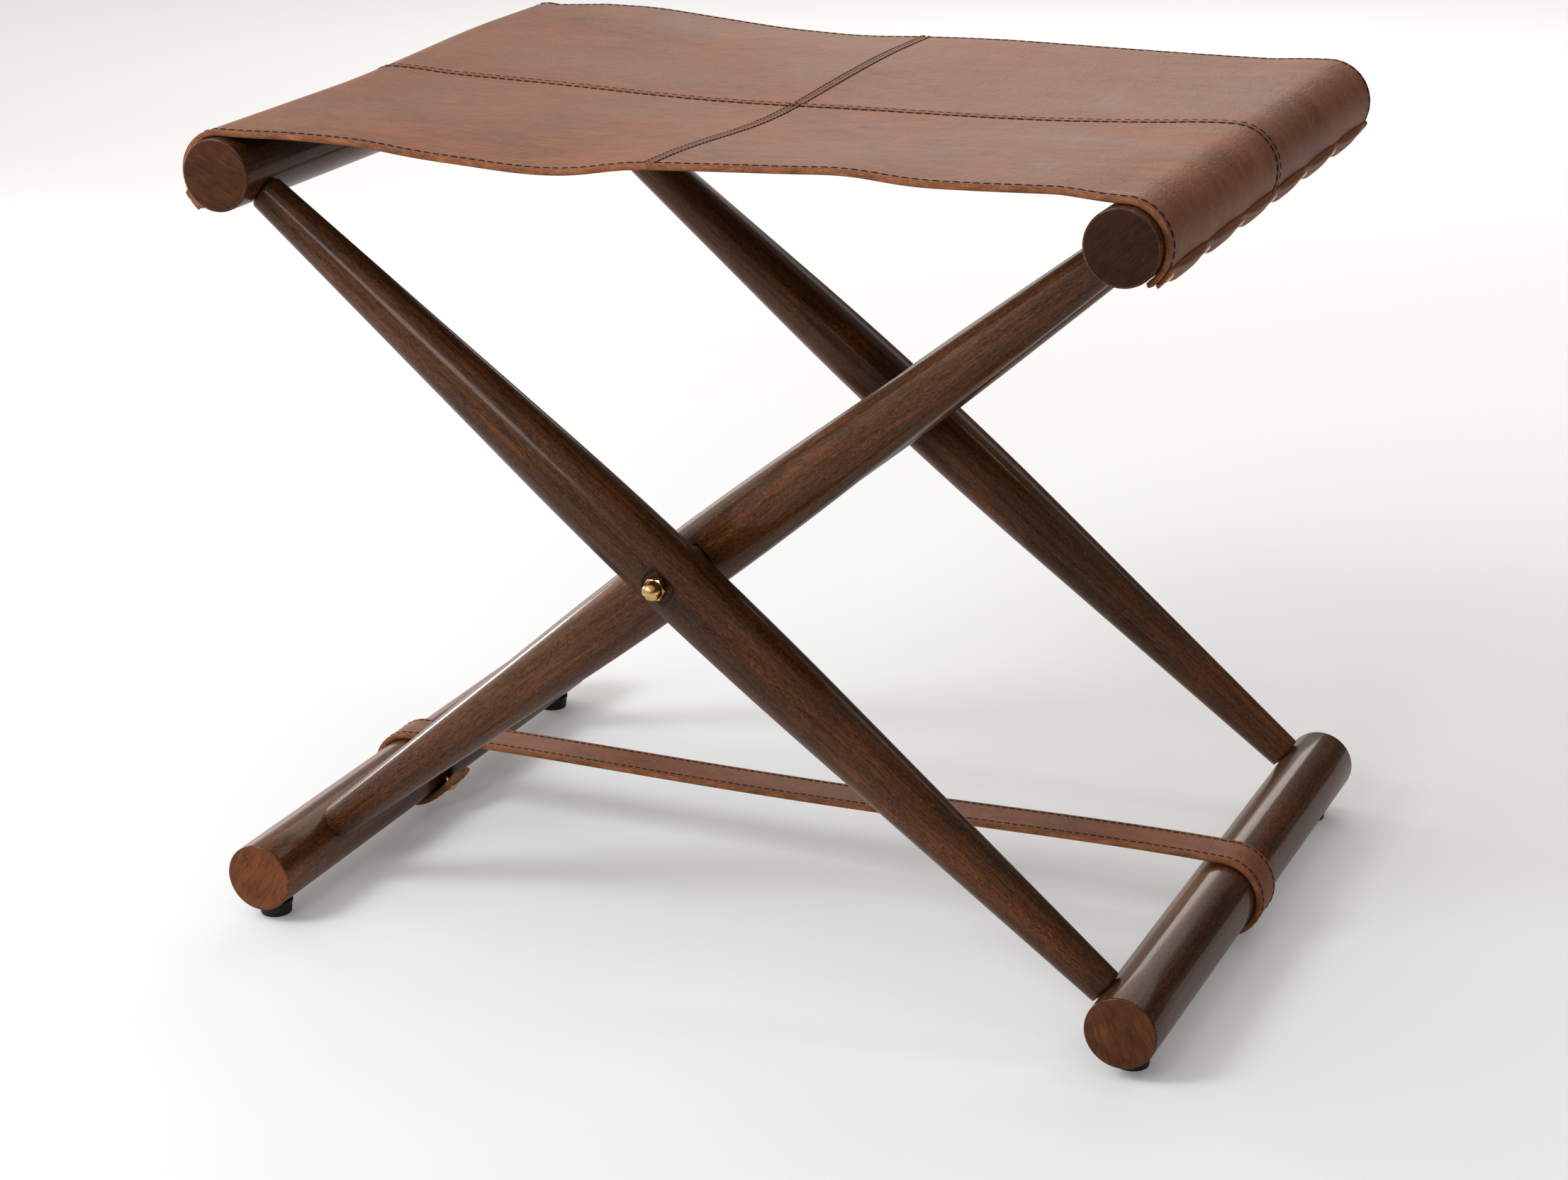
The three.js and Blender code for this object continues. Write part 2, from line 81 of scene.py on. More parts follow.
GAP = 0.3 * MM                          # between parts that touch without pressing
RAIL_EDGE = 1.2 * MM                    # rounding of a rail's ends
LEG_END_RADIUS = 9.8 * MM
LEG_CROWN = 100 * MM                    # reach of the rounded middle, each way
LEG_EDGE = 0.7 * MM
TENON_RADIUS = 7 * MM
TENON_LENGTH = 9 * MM
SPOT_FACE_DEPTH = 1.2 * MM
CUTTER_LENGTH = 12 * MM
WASHER_RADIUS = 8.2 * MM
SPACER_RADIUS = 9 * MM

NUT_ACROSS_FLATS = 11.1 * MM
NUT_HEX_HEIGHT = 5 * MM
NUT_DOME_RADIUS = 5.2 * MM
NUT_NECK = 0.9 * MM                     # from the hexagon to where the dome curves in
FOOT_BOTTOM_RADIUS = 8.7 * MM
FOOT_BORE_RADIUS = 4.4 * MM
FOOT_BORE_DEPTH = 3.2 * MM
FOOT_EDGE = 0.9 * MM

SEAT_THICKNESS = 3.4 * MM
SEAT_RADIUS = RAIL_RADIUS + GAP + SEAT_THICKNESS
SEAT_END_ANGLE = math.radians(58)
STRIP_ANGLES = (math.radians(24), math.radians(53))
NAIL_ANGLE = math.radians(40)
NAILS = 7                               # in each strip
STRAP_THICKNESS = 3.6 * MM
STRAP_RADIUS = RAIL_RADIUS + GAP + STRAP_THICKNESS
STRAP_END_ANGLES = (math.radians(6), math.radians(38))
STRAP_NAIL_ANGLES = (math.radians(30), math.radians(52))
STRAP_FREE_ANGLE = math.radians(62)
STRAP_END_LIFT = 6 * MM
STRAP_WIDTH = 27 * MM
STRAP_Y = -3 * MM
EDGE_FRAY = 0.12 * MM                   # unevenness of a cut edge
LINING_SHIFT = 20 * MM                  # so the flesh side doesn't repeat the face's marks
EDGE_SHIFT = 4 * MM                     # the same for the cut edge

# Rows of points down a cut edge: share of the thickness, and bulge.
EDGE_ROWS = (
    (0.12, 0.15 * MM),
    (0.32, 0.25 * MM),
    (0.5, 0.28 * MM),
    (0.68, 0.25 * MM),
    (0.88, 0.15 * MM),
)

# Rings along one stitch: place along it, width and height. The first is a share of its length,
# the others are shares of the thread's thickness.
STITCH_RINGS = (
    (-0.5, 0.35, -0.6),
    (-0.38, 0.85, 0.1),
    (0, 1, 0.3),
    (0.38, 0.85, 0.1),
    (0.5, 0.35, -0.6),
)
STITCH_SIDES = 6
STITCH_FLATNESS = 0.8
ROW_SAMPLES = 400

# Glows of the surroundings: direction, then cosines and strengths that one is spread between.
GLOWS = (
    ((-0.58, -0.33, 0.74), (-0.2, 1.0, 0.06, 0.95)),
    ((-0.95, 0.10, 0.20), (0.3, 1.0, 0.0, 0.20)),
    ((-0.72, 0.70, 0.16), (0.97, 0.995, 0.0, 2.2)),
)

# ---- node materials -----------------------------------------------------------------------


class Nodes:
    """A material's node tree, with short calls for the nodes that the materials here use."""

    def __init__(self, name):
        self.material = bpy.data.materials.new(name)
        self.material.use_nodes = True
        self.tree = self.material.node_tree
        self.shader = self.tree.nodes["Principled BSDF"]

    def add(self, kind, inputs=(), **settings):
        node = self.tree.nodes.new(kind)
        for key, value in settings.items():
            setattr(node, key, value)
        for key, value in dict(inputs).items():
            self.put(value, node.inputs[key])
        return node

    def put(self, value, socket):
        if isinstance(value, bpy.types.NodeSocket):
            self.tree.links.new(value, socket)
        else:
            socket.default_value = value

    def place(self):
        """Where a point lies on its piece, in metres: the mesh's own tex attribute."""
        return self.add("ShaderNodeAttribute", attribute_name="tex").outputs["Vector"]

    def solid_place(self):
        """The same in the object's own coordinates, for metal and rubber."""
        return self.add("ShaderNodeTexCoord").outputs["Object"]

    def toned(self, colour, attribute):
        """The colour, made lighter or darker by one of the piece's own attributes."""
        tone = self.add("ShaderNodeAttribute", attribute_name=attribute).outputs["Fac"]
        inputs = {"Vector": colour, "Scale": tone}
        return self.add("ShaderNodeVectorMath", inputs, operation="SCALE").outputs["Vector"]

    def stretch(self, vector, scale, shift=(0, 0, 0)):
        inputs = {"Vector": vector, "Scale": scale, "Location": shift}
        return self.add("ShaderNodeMapping", inputs).outputs["Vector"]

    def noise(self, vector, scale, detail=3.0, roughness=0.5, distortion=0.0):
        inputs = {
            "Vector": vector,
            "Scale": scale,
            "Detail": detail,
            "Roughness": roughness,
            "Distortion": distortion,
        }
        return self.add("ShaderNodeTexNoise", inputs).outputs["Fac"]

    def cells(self, vector, scale):
        inputs = {"Vector": vector, "Scale": scale}
        return self.add("ShaderNodeTexVoronoi", inputs).outputs["Distance"]

    def ramp(self, value, stops):
        node = self.add("ShaderNodeValToRGB", {"Fac": value})
        elements = node.color_ramp.elements
        while len(elements) < len(stops):
            elements.new(0.5)
        for element, (place, colour) in zip(elements, stops):
            element.position = place
            element.color = (*colour, 1)
        return node.outputs["Color"]

    def span(self, value, low, high, to_low=0.0, to_high=1.0):
        inputs = {
            "Value": value,
            "From Min": low,
            "From Max": high,
            "To Min": to_low,
            "To Max": to_high,
        }
        return self.add("ShaderNodeMapRange", inputs).outputs["Result"]

    def mix(self, share, first, second):
        """The first colour with a share of the second. A plain tuple is red, green and blue."""
        node = self.add("ShaderNodeMix", data_type="RGBA")
        for name, value in (("Factor_Float", share), ("A_Color", first), ("B_Color", second)):
            socket = next(s for s in node.inputs if s.identifier == name)
            self.put((*value, 1) if isinstance(value, tuple) else value, socket)
        return next(s for s in node.outputs if s.identifier == "Result_Color")

    def sum(self, first, second, operation="ADD"):
        return self.add("ShaderNodeMath", {0: first, 1: second}, operation=operation).outputs[0]

    def bump(self, height, distance, strength=1.0, under=None):
        inputs = {"Height": height, "Distance": distance, "Strength": strength}
        if under is not None:
            inputs["Normal"] = under
        return self.add("ShaderNodeBump", inputs).outputs["Normal"]

    def finish(self, **sockets):
        """Sets the shader's sockets, with _ for each space in a name."""
        for name, value in sockets.items():
            self.put(value, self.shader.inputs[name.replace("_", " ")])
        return self.material


def wood_material():
    """Dark stained beech under lacquer. The grain runs along the tex attribute's third axis."""
    n = Nodes("stained_beech")
    place = n.place()
    figure = n.noise(n.stretch(place, (1, 1, 0.10)), 60, 4, 0.6, 0.7)
    painted_light_tone = n.noise(n.stretch(place, (1, 1, 0.30)), 16, 2)
    lines = n.noise(n.stretch(place, (1, 1, 0.03)), 520, 5, 0.72, 0.3)
    dashes = n.noise(n.stretch(place, (1, 1, 0.16)), 1250, 2, 0.6)
    specks = n.noise(n.stretch(place, (1, 1, 0.35), (2, 7, 3)), 1700, 2, 0.6)
    rays = n.noise(n.stretch(place, (1, 1, 0.6)), 800, 2, 0.6, 1.5)
    red = n.noise(n.stretch(place, (1, 1, 0.10), (5, 2, 1)), 62, 3, 0.55, 1.0)
    tone = n.sum(n.span(figure, 0.32, 0.68, 0, 0.5), n.span(lines, 0.37, 0.63, 0, 0.55))
    tone = n.sum(tone, n.span(painted_light_tone, 0.3, 0.7, -0.12, 0.12))
    colour = n.ramp(
        tone,
        (
            (0.0, (0.0280, 0.0108, 0.0042)),
            (0.35, (0.0560, 0.0215, 0.0078)),
            (0.65, (0.0880, 0.0335, 0.0118)),
            (1.0, (0.1340, 0.0530, 0.0190)),
        ),
    )
    glow = n.sum(n.span(red, 0.55, 0.64), n.span(rays, 0.47, 0.58), "MULTIPLY")
    colour = n.mix(n.span(specks, 0.54, 0.66, 0, 0.6), colour, (0.165, 0.078, 0.034))
    colour = n.mix(n.sum(glow, 0.7, "MULTIPLY"), colour, (0.230, 0.068, 0.020))
    colour = n.mix(n.span(dashes, 0.53, 0.64, 0, 0.65), colour, (0.0180, 0.0080, 0.0040))
    relief = n.bump(dashes, 0.1 * MM, -0.45, n.bump(lines, 0.16 * MM, 0.35))
    return n.finish(
        # Painted light and shade: the piece's own tone attribute makes its whole round side lighter or darker, as
        # it is lit.
        Base_Color=n.toned(colour, "painted_light_tone"),
        Roughness=n.span(lines, 0.3, 0.7, 0.38, 0.48),
        Normal=relief,
        Coat_Normal=n.bump(dashes, 0.06 * MM, -0.3, n.bump(lines, 0.08 * MM, 0.35)),
        Specular_IOR_Level=0.12,
        Coat_Weight=0.36,
        Coat_Roughness=0.12,
    )


def end_grain_material():
    """The sawn end of a rail: growth rings as near-straight lines, with fine dark pores."""
    n = Nodes("beech_end_grain")
    place = n.place()
    rings = n.noise(n.stretch(place, (1, 0.12, 1)), 1000, 4, 0.65, 0.6)
    bands = n.noise(n.stretch(place, (1, 0.25, 1), (4, 1, 0)), 300, 3, 0.6, 1.0)
    patches = n.noise(place, 75, 3, 0.5)
    pores = n.cells(n.stretch(place, (1, 0.6, 1)), 1900)
    tone = n.sum(n.span(rings, 0.3, 0.7, 0, 0.45), n.span(bands, 0.3, 0.7, 0, 0.35))
    tone = n.sum(tone, n.span(patches, 0.3, 0.7, 0, 0.3))
    colour = n.ramp(
        tone,
        (
            (0.1, (0.0330, 0.0118, 0.0048)),
            (0.5, (0.0756, 0.0265, 0.0096)),
            (1.0, (0.1260, 0.0480, 0.0180)),
        ),
    )
    colour = n.mix(n.span(pores, 0.28, 0.12, 0, 0.5), colour, (0.0180, 0.0075, 0.0036))
    return n.finish(
        # Painted light and shade: the piece's tone attribute makes each rail end lighter or darker, as it is lit.
        Base_Color=n.toned(colour, "tone"),
        Roughness=0.5,
        Normal=n.bump(rings, 0.1 * MM, 0.3),
        Specular_IOR_Level=0.2,
    )


def leather_material():
    """Chestnut pull-up leather: clouds and mottles of tone, paler patches that are partly painted sheen,
    with pores and fine wrinkles.
    """
    n = Nodes("pull_up_leather")
    place = n.place()
    clouds = n.noise(n.stretch(place, (0.6, 1, 1)), 15, 6, 0.62, 0.6)
    pull_up_and_sheen = n.noise(n.stretch(place, (0.5, 1.2, 1), (3, 1, 0)), 8, 3, 0.5, 0.5)
    streaks = n.noise(n.stretch(place, (0.12, 1, 1)), 260, 5, 0.7, 0.5)
    speckle = n.noise(place, 1400, 3, 0.75)
    mottle = n.noise(n.stretch(place, (0.6, 1, 1)), 55, 5, 0.65, 1.2)
    tone = n.sum(n.span(clouds, 0.28, 0.72, 0.0, 0.9), n.span(streaks, 0.32, 0.68, -0.18, 0.18))
    tone = n.sum(tone, n.span(mottle, 0.3, 0.7, -0.3, 0.3))
    colour = n.ramp(
        tone,
        (
            (0.0, (0.146, 0.058, 0.029)),
            (0.35, (0.190, 0.076, 0.038)),
            (0.65, (0.234, 0.091, 0.044)),
            (1.0, (0.286, 0.110, 0.052)),
        ),
    )
    # Paler pinkish patches at random: partly the leather's own pull-up colour, partly a painted sheen.
    colour = n.mix(n.span(pull_up_and_sheen, 0.42, 0.72, 0, 0.6), colour, (0.238, 0.122, 0.078))
    colour = n.mix(n.span(speckle, 0.50, 0.70, 0, 0.35), colour, (0.095, 0.036, 0.016))
    pebbles = n.cells(n.stretch(place, (1, 1.3, 1)), 800)
    wrinkles = n.noise(n.stretch(place, (1.2, 0.55, 1)), 190, 4, 0.65, 1.4)
    relief = n.bump(pebbles, 0.14 * MM, 0.4, n.bump(wrinkles, 0.8 * MM, 0.8))
    return n.finish(
        Base_Color=colour,
        Roughness=n.span(clouds, 0.3, 0.7, 0.48, 0.58),
        Normal=relief,
        Specular_IOR_Level=0.22,
    )


def lining_material():
    """The flesh side: matt suede, a little paler than the dyed face."""
    n = Nodes("leather_flesh_side")
    place = n.place()
    nap = n.noise(place, 650, 4, 0.7)
    patches = n.noise(place, 22, 3)
    colour = n.ramp(
        n.sum(nap, n.span(patches, 0.3, 0.7, -0.12, 0.12)),
        ((0.3, (0.055, 0.025, 0.013)), (0.7, (0.125, 0.058, 0.030))),
    )
    relief = n.bump(nap, 0.2 * MM, 0.5)
    return n.finish(Base_Color=colour, Roughness=0.9, Normal=relief, Sheen_Weight=0.3)


def raw_edge_material():
    """The cut edge of tanned leather: fibres in thin layers, orange tan, darker in places."""
    n = Nodes("raw_leather_edge")
    place = n.place()
    fibres = n.noise(n.stretch(place, (1, 1, 3)), 900, 4, 0.7)
    patches = n.noise(place, 110, 4, 0.6)
    colour = n.ramp(
        n.sum(fibres, n.span(patches, 0.3, 0.7, -0.16, 0.16)),
        (
            (0.25, (0.090, 0.028, 0.010)),
            (0.48, (0.230, 0.080, 0.026)),
            (0.75, (0.400, 0.170, 0.065)),
        ),
    )
    return n.finish(Base_Color=colour, Roughness=0.75, Normal=n.bump(fibres, 0.3 * MM, 0.7))


def thread_material():
    n = Nodes("waxed_thread")
    place = n.place()
    twist = n.noise(place, 3500, 2)
    wear = n.noise(place, 300, 2)
    colour = n.ramp(
        n.sum(twist, n.span(wear, 0.3, 0.7, -0.1, 0.1)),
        ((0.35, (0.014, 0.008, 0.005)), (0.75, (0.060, 0.030, 0.018))),
    )
    relief = n.bump(twist, 0.1 * MM, 0.6)
    return n.finish(Base_Color=colour, Roughness=0.7, Normal=relief, Specular_IOR_Level=0.15)


def brass_material():
    n = Nodes("polished_brass")
    place = n.solid_place()
    tarnish = n.noise(place, 260, 3, 0.6)
    scratches = n.noise(n.stretch(place, (1, 1, 0.15)), 1800, 2)
    colour = n.ramp(tarnish, ((0.35, (0.42, 0.25, 0.085)), (0.65, (0.74, 0.52, 0.24))))
    return n.finish(
        Base_Color=colour,
        Metallic=1.0,
        Roughness=n.span(tarnish, 0.3, 0.7, 0.26, 0.12),
        Normal=n.bump(scratches, 0.03 * MM, 0.3),
    )


def steel_material():
    n = Nodes("zinc_plate")
    spangle = n.noise(n.solid_place(), 700, 2)
    colour = n.ramp(spangle, ((0.3, (0.30, 0.31, 0.33)), (0.7, (0.52, 0.53, 0.55))))
    roughness = n.span(spangle, 0.3, 0.7, 0.28, 0.42)
    return n.finish(Base_Color=colour, Metallic=1.0, Roughness=roughness)


def rubber_material():
    n = Nodes("black_rubber")
    place = n.solid_place()
    dust = n.noise(place, 300, 3)
    colour = n.ramp(dust, ((0.35, (0.006, 0.006, 0.006)), (0.75, (0.020, 0.019, 0.018))))
    return n.finish(
        Base_Color=colour,
        Roughness=n.span(dust, 0.3, 0.7, 0.5, 0.7),
        Normal=n.bump(n.noise(place, 2200, 2), 0.08 * MM, 0.4),
    )


WOOD = wood_material()
END_GRAIN = end_grain_material()
LEATHER = leather_material()
LINING = lining_material()
RAW_EDGE = raw_edge_material()
THREAD = thread_material()
BRASS = brass_material()
STEEL = steel_material()
RUBBER = rubber_material()
HIDE = [LEATHER, LINING, RAW_EDGE]

# ---- meshes -------------------------------------------------------------------------------


def make_piece(
    name,
    points,
    faces,
    materials,
    tex=None,
    indices=None,
    matrix=None,
    smooth_angle=40,
    tones=(1, 1),
):
    """A piece from its points and faces. tex is each point's place in its material, in metres,
    and tones are painted light and shade: they make its end grain and its stained wood lighter or darker, as the
    piece is lit."""
    mesh = bpy.data.meshes.new(name)
    mesh.from_pydata([tuple(p) for p in points], [], [tuple(int(i) for i in f) for f in faces])
    for material in materials:
        mesh.materials.append(material)
    if indices is not None:
        mesh.polygons.foreach_set("material_index", np.asarray(indices, np.int32))
    spots = np.asarray(points if tex is None else tex, np.float32)
    attribute = mesh.attributes.new("tex", "FLOAT_VECTOR", "POINT")
    attribute.data.foreach_set("vector", spots.ravel())
    # Painted light and shade: one brightness for the whole piece's end grain, and one for its stained wood.
    for key, value in zip(("tone", "painted_light_tone"), tones):
        shade = mesh.attributes.new(key, "FLOAT", "POINT")
        shade.data.foreach_set("value", np.full(len(spots), value, np.float32))
    work = bmesh.new()
    work.from_mesh(mesh)
    bmesh.ops.recalc_face_normals(work, faces=work.faces)
    work.to_mesh(mesh)
    work.free()
    mesh.shade_smooth()
    mesh.set_sharp_from_angle(angle=math.radians(smooth_angle))
    piece = bpy.data.objects.new(name, mesh)
    bpy.context.scene.collection.objects.link(piece)
    if matrix is not None:
        piece.matrix_world = matrix
    return piece


def settle(piece, body, slot, *nodes):
    """Attaches a piece to what it rides on, and hides the CAD nodes it stands for. Its slot is not used."""
    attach(piece, body)
    if nodes:
        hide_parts(*nodes)
    return piece


def lathe(profile, sides):
    """Points and faces of a turned solid about Z, from (radius, height) points that start and
    end on the axis. A radius or height may also be an array, with one value for each side."""
    angles = np.arange(sides) * 2 * math.pi / sides
    points, rings = [], []
    for radius, height in profile:
        if np.max(radius) < 1e-9:
            rings.append([len(points)] * sides)
            points.append((0, 0, float(np.max(height))))
            continue
        rings.append(list(range(len(points), len(points) + sides)))
        columns = (radius * np.cos(angles), radius * np.sin(angles), height + 0 * angles)
        points += [tuple(p) for p in np.stack(columns, -1)]
    faces = []
    for low, high in zip(rings, rings[1:]):
        for i in range(sides):
            j = (i + 1) % sides
            face = [low[i], low[j], high[j], high[i]]
            face = [v for k, v in enumerate(face) if v not in face[:k]]
            faces.append(face)
    return points, faces


def rounded(profile, radius, steps=4):
    """The profile with its inner corners rounded, ends kept."""
    out = [profile[0]]
    for before, corner, after in zip(profile, profile[1:], profile[2:]):
        a, c, b = Vector(before), Vector(corner), Vector(after)
        reach = min(radius, (a - c).length * 0.45, (b - c).length * 0.45)
        start, end = c + (a - c).normalized() * reach, c + (b - c).normalized() * reach
        for i in range(steps + 1):
            share = i / steps
            p = start * (1 - share) ** 2 + c * 2 * share * (1 - share) + end * share**2
            out.append((p.x, p.y))
    out.append(profile[-1])
    return out


def facing(direction, place):
    """A matrix that turns +Z to a direction and moves the origin to a place."""
    turn = Vector(direction).to_track_quat("Z", "Y").to_matrix().to_4x4()
    return Matrix.Translation(place) @ turn


def turned(name, profile, sides, material, matrix, seed=0, end_material=None, tones=(1, 1)):
    """A turned piece. Its seed shifts the material, so no two pieces show the same grain.
    Faces that lie square to its axis have the end material."""
    points, faces = lathe(profile, sides)
    tex = np.array(points) + np.array([0.7 * seed, 0.3 * seed, 0.9 * seed])
    indices = None
    if end_material:
        heights = [np.ptp([points[i][2] for i in face]) for face in faces]
        indices = [1 if height < 1e-6 else 0 for height in heights]
    materials = [material] + ([end_material] if end_material else [])
    return make_piece(name, points, faces, materials, tex, indices, matrix, tones=tones)


def joined(name, parts, material, matrices):
    """One mesh from several copies of the same points and faces."""
    points, faces = [], []
    base_points, base_faces = parts
    for matrix in matrices:
        start = len(points)
        points += [tuple(matrix @ Vector(p)) for p in base_points]
        faces += [[start + i for i in face] for face in base_faces]
    return make_piece(name, points, faces, [material])


# ---- wooden frame -------------------------------------------------------------------------


def rail(node, body, seed, roll, tones):
    """roll turns the growth rings in the rail's ends, and tones are painted light and shade: how light
    those ends and the rail's round side are made, as each is lit."""
    length = size(node).y
    rows = [(0, -length / 2), (RAIL_RADIUS, -length / 2)]
    rows += [(RAIL_RADIUS, length * (i / 10 - 0.5)) for i in range(1, 10)]
    rows += [(RAIL_RADIUS, length / 2), (0, length / 2)]
    matrix = facing((0, 1, 0), centre(node)) @ Matrix.Rotation(math.radians(roll), 4, "Z")
    rows = rounded(rows, RAIL_EDGE)
    piece = turned(f"{node}_turned", rows, 96, WOOD, matrix, seed, END_GRAIN, tones)
    settle(piece, body, "wood", node)


def leg_profile(reach_down, reach_up):
    """Two long tapers that meet in a rounded middle, with a tenon at each end."""
    shoulder = RAIL_RADIUS + GAP
    middle = (reach_up - reach_down) / 2
    half = (reach_up + reach_down) / 2 - shoulder
    taper = (LEG_RADIUS - LEG_END_RADIUS) / (half - LEG_CROWN / 2)

    def radius(height):
        away = abs(height - middle)
        if away > LEG_CROWN:
            return LEG_END_RADIUS + taper * (half - away)
        return LEG_RADIUS - taper * away**2 / (2 * LEG_CROWN)

    def end(height, inward):
        """The axis, the tenon and the rounded shoulder of one end, from outside inwards."""
        tip = height - inward * TENON_LENGTH
        rows = [(0, tip), (TENON_RADIUS, tip), (TENON_RADIUS, height)]
        for in_from_side, up in ((1, 0), (0.3, 0.3), (0, 1)):
            away = inward * up * LEG_EDGE
            rows.append((LEG_END_RADIUS - in_from_side * LEG_EDGE, height + away))
        return rows

    low, high = middle - half, middle + half
    heights = np.linspace(low + 3 * LEG_EDGE, high - 3 * LEG_EDGE, 60)
    tapers = [(radius(height), height) for height in heights]
    return end(low, 1) + tapers + end(high, -1)[::-1]


def cut_spot_face(piece, place, direction, radius):
    """Cuts the flat seat for a nut or washer, with its floor at a place and facing a direction."""
    profile = [(0, 0), (radius, 0), (radius, CUTTER_LENGTH), (0, CUTTER_LENGTH)]
    cutter = turned("cutter", profile, 64, WOOD, facing(direction, place))
    boolean = piece.modifiers.new("spot face", "BOOLEAN")
    boolean.operation = "DIFFERENCE"
    boolean.solver = "EXACT"
    boolean.object = cutter
    graph = bpy.context.evaluated_depsgraph_get()
    mesh = bpy.data.meshes.new_from_object(piece.evaluated_get(graph))
    piece.modifiers.clear()
    piece.data = mesh
    mesh.set_sharp_from_angle(angle=math.radians(40))
    bpy.data.objects.remove(cutter)


def leg(node, side, body, seed, front_radius, rear_radius, painted_light_tone):
    """side is -1 for a leg whose top is at the left, and 1 for one whose top is at the right.
    The radii are those of the flat seats that are cut into its front and its rear."""
    y = centre(node).y
    top = Vector((side * TOP_X, y, TOP_Z))
    bottom = Vector((-side * BOTTOM_X, y, BOTTOM_Z))
    pivot = Vector((PIVOT.x, y, PIVOT.z))
    profile = leg_profile((bottom - pivot).length, (top - pivot).length)
    matrix = facing(top - bottom, pivot)
    # The last value paints light and shade: it makes this whole leg lighter or darker, as it is lit.
    piece = turned(f"{node}_turned", profile, 72, WOOD, matrix, seed, tones=(1, painted_light_tone))
    seat = LEG_RADIUS - SPOT_FACE_DEPTH
    for facing_y, radius in ((-1, front_radius), (1, rear_radius)):
        direction = Vector((0, facing_y, 0))
        cut_spot_face(piece, pivot + direction * seat, direction, radius + GAP)
    settle(piece, body, "wood", node)


def wooden_frame():
    # The last values are painted light and shade: each rail's end and round side, and each leg, is made lighter or
    # darker as it is lit, the top right rail's end darkest and the bottom left's lightest.
    rail("top_rail_left", OUTER, 1, -65, (0.88, 1.0))
    rail("top_rail_right", INNER, 2, 45, (0.46, 0.9))
    rail("bottom_rail_left", INNER, 3, 30, (1.9, 1.45))
    rail("bottom_rail_right", OUTER, 4, -25, (1.2, 1.0))
    leg("outer_leg_front", -1, OUTER, 11, WASHER_RADIUS, SPACER_RADIUS, 0.84)
    leg("outer_leg_rear", -1, OUTER, 12, SPACER_RADIUS, WASHER_RADIUS, 1.15)
    leg("inner_leg_front", 1, INNER, 13, SPACER_RADIUS, WASHER_RADIUS, 1.15)
    leg("inner_leg_rear", 1, INNER, 14, WASHER_RADIUS, SPACER_RADIUS, 1.15)


# ---- pivots and feet ----------------------------------------------------------------------


def hexagon_radius(sides, across_flats):
    """How far a hexagon's edge is from its middle, at each side of a lathe."""
    turn = np.arange(sides) * 2 * math.pi / sides
    return across_flats / 2 / np.cos(turn % (math.pi / 3) - math.pi / 6)


def acorn_nut(place, side):
    """A hexagon with both ends bevelled, and a dome. side is where along Y the dome points."""
    node = f"acorn_nut_{place}"
    low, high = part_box(node)
    sides = 96
    hexagon = hexagon_radius(sides, NUT_ACROSS_FLATS)
    height, total, dome = NUT_HEX_HEIGHT, size(node).y, NUT_DOME_RADIUS
    flat = NUT_ACROSS_FLATS / 2 * 0.97
    bevel = (hexagon - flat) * math.tan(math.radians(30))
    rows = [(0, 0), (flat, 0), (hexagon, bevel), (hexagon, height - bevel), (flat, height)]
    rows += [(dome + 0.2 * MM, height), (dome, height + 0.3 * MM)]
    start = height + NUT_NECK
    for angle in np.linspace(0, math.pi / 2, 16):
        rows.append((dome * math.cos(angle), start + (total - start) * math.sin(angle)))
    rows[-1] = (0, total)
    base = Vector((PIVOT.x, low.y if side > 0 else high.y, PIVOT.z))
    piece = turned(f"{node}_domed", rows, sides, BRASS, facing((0, side, 0), base))
    settle(piece, OUTER, "brass", node)


def foot(node, body):
    """A moulded foot: a tapered side, a small collar at the top, and a bore for its screw."""
    low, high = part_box(node)
    height, top = high.z - low.z, (high.x - low.x) / 2
    rows = [(0, FOOT_BORE_DEPTH), (FOOT_BORE_RADIUS, FOOT_BORE_DEPTH), (FOOT_BORE_RADIUS, 0)]
    rows += [(FOOT_BOTTOM_RADIUS, 0), (top - 0.5 * MM, height * 0.72)]
    rows += [(top, height * 0.76), (top, height), (0, height)]
    place = Vector(((low.x + high.x) / 2, (low.y + high.y) / 2, low.z))
    matrix = Matrix.Translation(place)
    piece = turned(f"{node}_moulded", rounded(rows, FOOT_EDGE), 64, RUBBER, matrix)
    settle(piece, body, "rubber", node)


def fittings():
    acorn_nut("front", -1)
    acorn_nut("rear", 1)
    for place in ("front", "rear"):
        foot(f"foot_{place}_right", OUTER)
        foot(f"foot_{place}_left", INNER)


# ---- leather ------------------------------------------------------------------------------


def fine_steps(start, end, step, fine_at, fine_step, fine_reach):
    """Values from start to end, closer together round some places."""
    values = [start]
    while values[-1] < end - 1e-9:
        here = values[-1]
        near = any(p - fine_reach - step < here < p + fine_reach for p in fine_at)
        values.append(min(end, here + (fine_step if near else step)))
    return np.array(values)


def hump(x, middle, width):
    """1 at the middle, falling smoothly to 0 on both sides."""
    return np.exp(-(((x - middle) / width) ** 2))


def unit(v):
    return v / np.linalg.norm(v, axis=-1, keepdims=True)


def border(grid):
    """The points round a grid's border, in order."""
    sides = (grid[:-1, 0], grid[-1, :-1], grid[:0:-1, -1], grid[0, :0:-1])
    return np.concatenate(sides)


def beside_border(grid):
    """The point one step in from each point of the border."""
    sides = (grid[:-1, 1], grid[-2, :-1], grid[:0:-1, -2], grid[1, :0:-1])
    return np.concatenate(sides)


